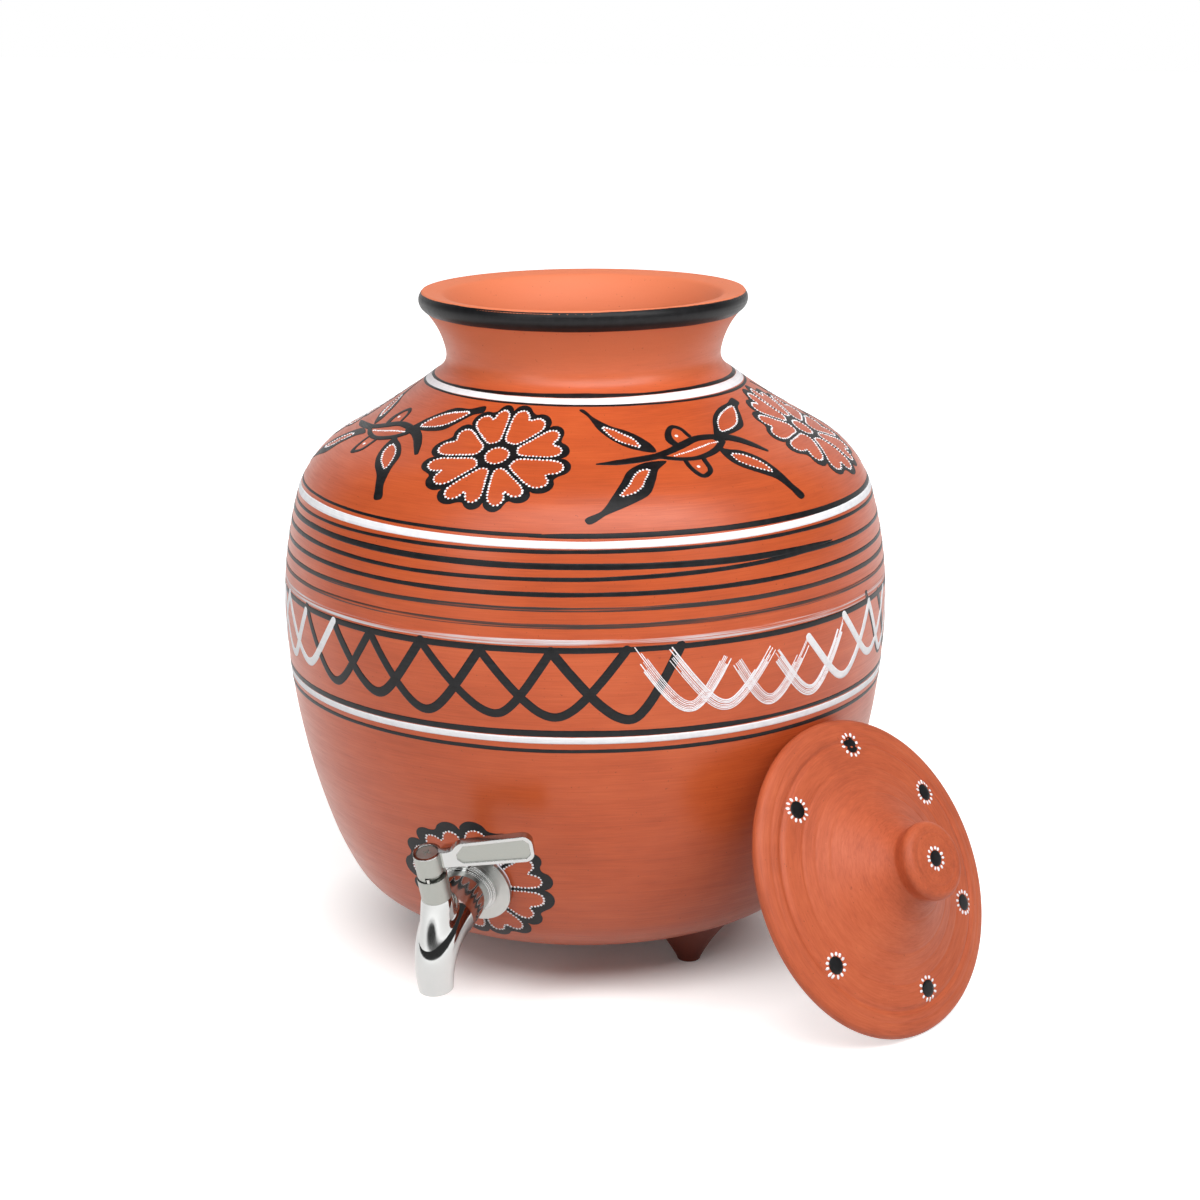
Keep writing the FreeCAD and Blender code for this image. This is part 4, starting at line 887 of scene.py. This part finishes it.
def paint_flowers(layer):
    """Flowers and sprigs in turn round the shoulder, and the one behind the tap."""
    black = layer("painted_flowers", BLACK_PAINT, SHOULDER, BLACK_LIFT)
    dots = layer("painted_dots", WHITE_PAINT, SHOULDER, DOT_LIFT)
    flowers = [(-40.6, 371.8, [-1, 43, 95, 141, 189, 237, 275, 311]),
               (134.5, 370.0, [5, 48, 92, 140, 186, 230, 276, 318]),
               (296.1, 371.0, [2, 50, 93, 137, 181, 226, 271, 315]),
               (457.7 - ROUND, 371.0, [-3, 41, 88, 134, 180, 228, 273, 316])]
    for number, (x, s, spokes) in enumerate(flowers, 1):
        flower(black, dots, x, s, spokes, random.Random(number))
    sprigs = layer("painted_sprigs", BLACK_PAINT, SHOULDER, BLACK_LIFT)
    places = [(52.0, 375.0), (-117.0, 376.5), (215.3, 374.5), (377.0 - ROUND, 374.5)]
    for number, (x, s) in enumerate(places, 40):
        sprig(sprigs, dots, x, s, random.Random(number))

    black = layer("painted_tap_flower", BLACK_PAINT, TAP_MAP, BLACK_LIFT)
    dots = layer("painted_tap_dots", WHITE_PAINT, TAP_MAP, DOT_LIFT)
    flower(black, dots, 1.6 - math.radians(FRONT) * TAP_MAP, 152.6,
           [0, 41, 95, 140, 185, 229, 271, 314], random.Random(5), 1.14, 1.06, 0.96)


def paint_waves(layer):
    """The crossed waves round the belly, black and white in turn, and two dry rows of white."""
    black = layer("painted_black_waves", BLACK_PAINT, BELLY, BLACK_LIFT)
    scallops(black, WAVE_WIDTH, 51, [
        [(-164, 277), (-137, 247), (-110, 276), (-78, 244.2), (-50, 275.5), (-15.6, 245.3),
         (17, 276.5)],
        [(-137, 276), (-106, 247.8), (-80, 276.5), (-43, 246), (-17, 276), (18.5, 243.8),
         (42, 277)],
        [(165, 280), (190, 247), (214, 277), (238, 246), (262, 276), (287, 246), (312, 277),
         (336, 247), (360, 276)],
        [(184, 277), (207, 246), (231, 276), (255, 247), (279, 277), (303, 246), (329, 277),
         (351, 246), (371, 276)],
        [(436, 276), (461, 246), (486, 277), (512, 247), (537, 276), (562, 246), (588, 277),
         (612, 246), (632, 276)],
        [(452, 277), (478, 247), (503, 276), (528, 246), (553, 277), (579, 247), (604, 276),
         (628, 246), (645, 270)]])
    dry = layer("painted_dry_waves", DRY_WHITE, BELLY, WHITE_LIFT)
    scallops(dry, DRY_WIDTH, 61, [
        [(20, 277), (47, 248), (66, 272), (89, 245.5), (112, 271)],
        [(36, 275), (65, 246.6), (89, 270), (115, 245), (140, 276)]], BRISTLES)
    white = layer("painted_white_waves", WHITE_PAINT, BELLY, WHITE_LIFT)
    scallops(white, WHITE_WAVE_WIDTH, 63, [
        [(112, 271), (141, 246.5), (168, 276), (190, 248), (213, 276)],
        [(140, 276), (170, 251), (197, 276)],
        [(350, 276), (374, 247), (398, 276), (423, 246), (448, 276)],
        [(366, 276), (390, 247), (414, 276), (438, 247), (456, 272)],
        [(-305, 276), (-279, 247), (-252, 276), (-222, 247), (-194, 277), (-164, 250),
         (-137, 276)],
        [(-309, 276), (-284, 247), (-259, 276), (-234, 248), (-209, 276), (-187, 248.7),
         (-165.6, 274.8)]])


def paint_pot():
    """Everything that is painted on the pot, a piece to each kind of paint and place."""
    layers = []

    def layer(name, material, radius, lift):
        layers.append(Layer(name, material, radius, lift))
        return layers[-1]

    paint_rings(layer)
    paint_flowers(layer)
    paint_waves(layer)
    for one in layers:
        one.make()


# ---- pot and lid

SEAT_RADIUS, SEAT_DEPTH, SEAT_FRONT = 21.2, 1.6, 6.0   # the flat that is cut for the tap's gasket
TAP_HALF = 14               # degrees to each side of the tap where the columns are close
SEAT_ROWS = (125, 186)      # where the rows are close: at the tap's seat,
NECK_ROWS = 395             # and from the neck
MOUTH_ROWS = 60             # to this far past the rim


def make_pot():
    """The thrown pot, its wall seen from outside and in, with the flat seat of the tap."""
    azimuths = np.r_[np.arange(-TAP_HALF, TAP_HALF, 0.4),
                     np.linspace(TAP_HALF, 360 - TAP_HALF, 125, endpoint=False)]
    inner = np.concatenate([OUTSIDE[-1:], INSIDE])
    outline = np.concatenate([OUTSIDE, soften(inner, 2)[1:]])
    along = np.r_[ALONG, ALONG[-1] + lengths(inner)[1:]]
    close = (along > SEAT_ROWS[0]) & (along < SEAT_ROWS[1])
    close |= (along > NECK_ROWS) & (along < ALONG[-1] + MOUTH_ROWS)
    kept = close | (np.arange(len(along)) % np.where(along < ALONG[-1], 2, 3) == 0)
    kept[-1] = True
    points, faces, wheel = lathe(outline[kept], azimuths, along[kept])
    away = points - TAP_SEAT
    depth = away @ OUT
    beside = np.linalg.norm(away - depth[:, None] * OUT, axis=1)
    cut = (beside < SEAT_RADIUS) & (depth > -SEAT_DEPTH) & (depth < SEAT_FRONT)
    points[cut] -= (depth[cut] + SEAT_DEPTH)[:, None] * OUT
    pot = make_object("pot_clay", points, faces, CLAY, wheel=wheel)
    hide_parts("pot_body")
    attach(pot, "pot")


LID_NORMAL = Vector((0.8461047, -0.2963017, 0.4430712))
LID_FOOT = Vector((169.5701, -59.3826, 66.6292))
LID_EDGE = (72.0, 0.0)
LID_KNOTS = [(72.8, 6.3), (57.0, 9.2), (36.0, 16.5), (22.5, 26.3), (16.8, 34.0)]
KNOB_SIDE, KNOB_TOP = (18.3, 39.5), (14.9, 44.2)
FLANGE_OUT, FLANGE_IN, FLANGE_DEPTH = 58.5, 52.5, 8.0
HOLLOW_RADIUS, HOLLOW_TOP, HOLLOW_FOOT = 9.0, 18.4, 2.0
# Throwing grooves by radius, depth and width.
GROOVES = [(63.2, 1.0, 1.2), (51.5, 0.3, 0.7), (68.6, 0.2, 0.6), (45.0, 0.2, 0.6),
           (38.0, 0.3, 0.8), (24.5, 0.3, 0.7), (12.4, 0.3, 0.7)]
# Black spots by radius, azimuth and size: six round the brim and one on the knob.
SPOTS = [(57.0, -151, 4.2), (57.0, -95, 4.2), (57.0, -31, 4.2), (57.0, 47, 4.2),
         (57.0, 151, 4.2), (62.0, 101, 4.2), (0.6, 60, 3.9)]


def lid_frame():
    """The lid's place, leaning on the pot's side."""
    across = LID_NORMAL.cross(Vector((0, 0, 1))).normalized()
    up = LID_NORMAL.cross(across)
    rotation = Matrix((across, up, LID_NORMAL)).transposed()
    return Matrix.Translation(LID_FOOT * MM) @ rotation.to_4x4()


def lid_outline():
    """The lid's outline from the middle of its hollow, round its edge, to the knob's middle."""
    corners = [(0, HOLLOW_TOP), (HOLLOW_RADIUS, HOLLOW_TOP), (FLANGE_IN, HOLLOW_FOOT),
               (FLANGE_IN, -FLANGE_DEPTH), (FLANGE_OUT, -FLANGE_DEPTH), (FLANGE_OUT, 0), LID_EDGE]
    under = [np.array(corners[:1])]
    for start, end, step in zip(corners, corners[1:], (1.0, 1.0, 0.8, 0.8, 0.8, 0.8)):
        under.append(run(start, end, step))
    top, _ = bends(LID_EDGE, (1, 0), LID_KNOTS, 0.6)
    side = np.array(KNOB_SIDE)
    chord = side - LID_KNOTS[-1]
    edge, _ = bend(side, chord / np.linalg.norm(chord), np.array(KNOB_TOP), 0.5)
    knob = [run(LID_KNOTS[-1], KNOB_SIDE, 0.5), edge, run(KNOB_TOP, (0, KNOB_TOP[1]), 0.6)]
    return soften(np.concatenate([*under[:-1], under[-1][:-1], top, *knob]), 2)


def make_lid():
    outline = lid_outline()
    along = lengths(outline)
    top = np.arange(len(outline)) > np.argmax(outline[:, 0])
    for radius, depth, width in GROOVES:
        near = np.exp(-((outline[:, 0] - radius) / width) ** 2)
        outline[:, 1] -= np.where(top, depth * near, 0)
    points, faces, wheel = lathe(outline, np.arange(0, 360, 1.25), along)
    lid = make_object("lid_clay_top", points, faces, LID_CLAY, wheel=wheel, place=lid_frame())
    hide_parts("lid")
    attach(lid, "lid")
    paint_lid(outline[top])


def paint_lid(face):
    """Black spots ringed with white dots, on the upper face's outline."""
    order = np.argsort(face[:, 0])
    draw = random.Random(71)
    black = [[], []]
    white = [[], []]

    def blob(group, x, y, radius_a, radius_b, angle, lift):
        a, b, rise, faces = dome(12, (1.0, 0.92, 0.6), (SUNK, 0.6 * lift, lift, lift * 1.1))
        a, b = radius_a * a, radius_b * b
        px = x + a * math.cos(angle) - b * math.sin(angle)
        py = y + a * math.sin(angle) + b * math.cos(angle)
        pz = np.interp(np.hypot(px, py), face[order, 0], face[order, 1]) + rise
        start = sum(len(p) for p in group[0])
        group[0].append(np.stack([px, py, pz], 1))
        group[1] += [tuple(start + i for i in f) for f in faces]

    for radius, angle, size in SPOTS:
        angle = -math.radians(angle)
        x, y = radius * math.cos(angle), radius * math.sin(angle)
        blob(black, x, y, size, size * draw.uniform(0.95, 1.1), angle, 0.14)
        count = draw.choice((12, 13, 14))
        for i in range(count):
            turn = 2 * math.pi * (i + draw.uniform(-0.15, 0.15)) / count
            blob(white, x + (size + 1.0) * math.cos(turn), y + (size + 1.0) * math.sin(turn),
                 draw.uniform(0.85, 1.15), draw.uniform(0.6, 0.8), turn, 0.28)
    for name, (places, faces), material in (("lid_black_spots", black, BLACK_PAINT),
                                            ("lid_white_dots", white, WHITE_PAINT)):
        points = np.concatenate(places)
        piece = make_object(name, points, faces, material, wheel=points, place=lid_frame())
        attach(piece, "lid")


# ---- tap

BOSS_RADIUS, FLARE_TOP = 7.03, 17.0
FLARE_FRONT, FLARE_BACK, FLARE_SIDE = 20.5, 10.6, 9.4
FLARE_SUNK = 0.06
BARREL_RADIUS, TIP_RADIUS, ELBOW_START, ELBOW_RADIUS = 12.0, 8.2, 24.0, 23.8
ELBOW_TURN = math.radians(80)


def barrel_top(x, y):
    """The height of the barrel's and elbow's upper surface over a place in the tap's frame."""
    if x < ELBOW_START:
        return math.sqrt(max(BARREL_RADIUS ** 2 - y ** 2, 0))
    turn = np.linspace(0, ELBOW_TURN, 200)
    radius = BARREL_RADIUS + (TIP_RADIUS - BARREL_RADIUS) * turn / ELBOW_TURN
    reach = ELBOW_RADIUS + np.sqrt(np.maximum(radius ** 2 - y ** 2, 0))
    return float(np.interp(x, ELBOW_START + reach * np.sin(turn),
                           reach * np.cos(turn) - ELBOW_RADIUS))


def bezier(t, a, b, c, d):
    return (1 - t) ** 3 * a + 3 * t * (1 - t) ** 2 * b + 3 * t ** 2 * (1 - t) * c + t ** 3 * d


def make_boss_flare():
    """The smooth cast flare by which the stem's boss runs out into the elbow."""
    shares = np.linspace(0, 1, 19)[:, None]
    rows = []
    for angle in np.radians(np.arange(0, 360, 4)):
        spoke = np.array([math.cos(angle), math.sin(angle)])
        start = BOSS_RADIUS * spoke
        end = np.array([FLARE_FRONT if spoke[0] > 0 else FLARE_BACK, FLARE_SIDE]) * spoke
        course = (end - start) / np.linalg.norm(end - start)
        inner = end - 0.4 * course
        low = barrel_top(STEM_REACH + end[0], end[1])
        slope = np.r_[course, (low - barrel_top(STEM_REACH + inner[0], inner[1])) / 0.4]
        slope /= np.linalg.norm(slope)
        first, last = np.r_[start, FLARE_TOP], np.r_[end, low - FLARE_SUNK]
        room = np.linalg.norm(last - first)
        leave = first + np.r_[course * 0.5, -1] * room * 0.3
        arrive = last - slope * room * 0.4
        rows.append(bezier(shares, first, leave, arrive, last) + (STEM_REACH, 0, 0))
    points = np.array(rows).transpose(1, 0, 2).reshape(-1, 3)
    points = TAP_SEAT + points @ np.array([OUT, RIGHT, STEM_UP])
    faces = quads(len(shares), len(rows), True)[:, ::-1]
    flare = make_object("tap_boss_flare", points, faces, TAP_STEEL)
    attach(flare, "pot")


# ---- pieces kept from the CAD

FINISHES = {
    # The feet take the darkened clay: painted shade.
    FOOT_SHADED_CLAY: ["foot_front_left", "foot_front_right", "foot_back"],
    TAP_STEEL: ["tap_body", "lever"],
    POLISHED: ["valve_ball"],
    BRUSHED: ["face_plate"],
    SATIN: ["gland_nut", "thrust_washer", "stop_pin", "spring_washer", "lever_screw",
            "valve_stem", "seat_retainer"],
    PLAIN_STEEL: ["nut_washer", "lock_nut"],
    SILICONE: ["outer_gasket", "inner_gasket"],
    RUBBER: ["stem_seal_lower", "stem_seal_upper"],
    PTFE: ["ball_seat_outer", "ball_seat_inner"],
}


def dress_nodes():
    for material, names in FINISHES.items():
        for name in names:
            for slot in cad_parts[name].material_slots:
                slot.material = material


# ---- stage, in metres

CAMERA_AZIMUTH, CAMERA_PITCH, CAMERA_ROLL = 24.5, 14.58, 0.4389    # degrees
CAMERA_DISTANCE, CAMERA_HEIGHT = 1.2185, 0.48636
LENS, SENSOR, LENS_SHIFT = 75, 36, 0.01213
LAMP_TARGET = Vector((0, 0, 0.16))
# By azimuth, elevation, distance, width and height, watts.
LAMPS = {
    "left_softbox": (-17, 33, 1.8, (0.5, 1.6), 10),
    "right_softbox": (75, 38, 1.8, (0.6, 1.2), 10),
    "key": (36, 52, 2.4, (2.0, 1.6), 46),
}
FLOOR_REACH = 9000.0                        # millimetres
SHADOW_NEAR, SHADOW_FAR = 0.075, 0.15       # from the pot's axis, where the floor starts to glow
WHITE_NEAR, WHITE_FAR = 0.45, 1.6           # and where it grows plain white
GLOW_LOW, GLOW_MIDDLE = 0.04, 0.58
ROOM_BACK, ROOM_FRONT, ROOM_FILL = 0.85, 0.06, 0.25
ROOM_FACING = (0.42, -0.90, 0.12)           # towards the room's dim side
ROOM_EDGE = (-0.64, -0.42)                  # how far from it the backdrop ends
WHITE = (1, 1, 1, 1)


def toward(azimuth, elevation):
    """The direction to an azimuth and an elevation in degrees."""
    turn, rise = math.radians(azimuth), math.radians(elevation)
    return Vector((math.sin(turn) * math.cos(rise), -math.cos(turn) * math.cos(rise),
                   math.sin(rise)))


def make_camera():
    """The photograph's view: a little above the pot, slightly rolled."""
    back = toward(CAMERA_AZIMUTH, CAMERA_PITCH)
    right = toward(CAMERA_AZIMUTH + 90, 0)
    turn = Matrix((right, back.cross(right), back)).transposed()
    turn = turn @ Matrix.Rotation(-math.radians(CAMERA_ROLL), 3, "Z")
    data = bpy.data.cameras.new("camera")
    data.lens = LENS
    data.sensor_width = SENSOR
    data.shift_x = LENS_SHIFT
    camera = bpy.data.objects.new("camera", data)
    place = toward(CAMERA_AZIMUTH, 0) * CAMERA_DISTANCE + Vector((0, 0, CAMERA_HEIGHT))
    camera.matrix_world = Matrix.Translation(place) @ turn.to_4x4()
    bpy.context.scene.collection.objects.link(camera)
    bpy.context.scene.camera = camera


def make_lamp(name, azimuth, elevation, distance, size, power):
    direction = toward(azimuth, elevation)
    data = bpy.data.lights.new(name, "AREA")
    data.shape = "RECTANGLE"
    data.size, data.size_y = size
    data.energy = power
    lamp = bpy.data.objects.new(name, data)
    lamp.location = LAMP_TARGET + direction * distance
    lamp.rotation_euler = direction.to_track_quat("Z", "Y").to_euler()
    bpy.context.scene.collection.objects.link(lamp)


def make_floor():
    """A white table: its shadows near the object, plain white further off."""
    tree = new_tree("pale_floor")
    place = tree.place()
    path = tree.node("LightPath").outputs
    seen = tree.math("MAXIMUM", path["Is Camera Ray"], path["Is Glossy Ray"])
    seen = tree.math("MAXIMUM", seen, path["Is Transmission Ray"])
    pale = tree.mix(tree.noise(place, 60.0, 3.0), srgb((240, 239, 238)), srgb((246, 245, 244)))
    surface = tree.node("BsdfDiffuse", None, Color=tree.mix(seen, srgb((188, 186, 183)), pale))
    away = tree.vector("LENGTH", "Value", place)
    level = tree.math("ADD", tree.span(away, SHADOW_NEAR, SHADOW_FAR, GLOW_LOW, GLOW_MIDDLE),
                      tree.span(away, WHITE_NEAR, WHITE_FAR, 0, 1 - GLOW_MIDDLE))
    glow = tree.node("Emission", None, Color=WHITE, Strength=tree.product(seen, level))
    both = tree.node("AddShader", None, _0=surface.outputs[0], _1=glow.outputs[0])
    tree.node("OutputMaterial", None, Surface=both.outputs[0])
    reach = FLOOR_REACH
    corners = [(-reach, -reach, 0), (reach, -reach, 0), (reach, reach, 0), (-reach, reach, 0)]
    floor = make_object("floor", corners, [(0, 1, 2, 3)], tree.owner)


def make_world():
    """A studio: a white backdrop behind the object, a dim room in front of it."""
    world = bpy.data.worlds.new("studio")
    bpy.context.scene.world = world
    tree = Tree(world)
    direction = tree.node("TexCoord").outputs["Generated"]
    front = tree.vector("DOT_PRODUCT", "Value", direction, ROOM_FACING)
    room = tree.span(front, *ROOM_EDGE, ROOM_BACK, ROOM_FRONT)
    path = tree.node("LightPath").outputs
    seen = tree.math("MAXIMUM", path["Is Camera Ray"], path["Is Transmission Ray"])
    level = tree.between(path["Is Diffuse Ray"], room, ROOM_FILL)
    level = tree.between(seen, level, 1.0)
    background = tree.node("Background", None, Color=WHITE, Strength=level)
    tree.node("OutputWorld", None, Surface=background.outputs[0])


make_camera()
make_world()
make_floor()
for name, lamp in LAMPS.items():
    make_lamp(name, *lamp)
make_pot()
make_lid()
make_boss_flare()
paint_pot()
dress_nodes()
bpy.context.scene.view_settings.view_transform = "Standard"
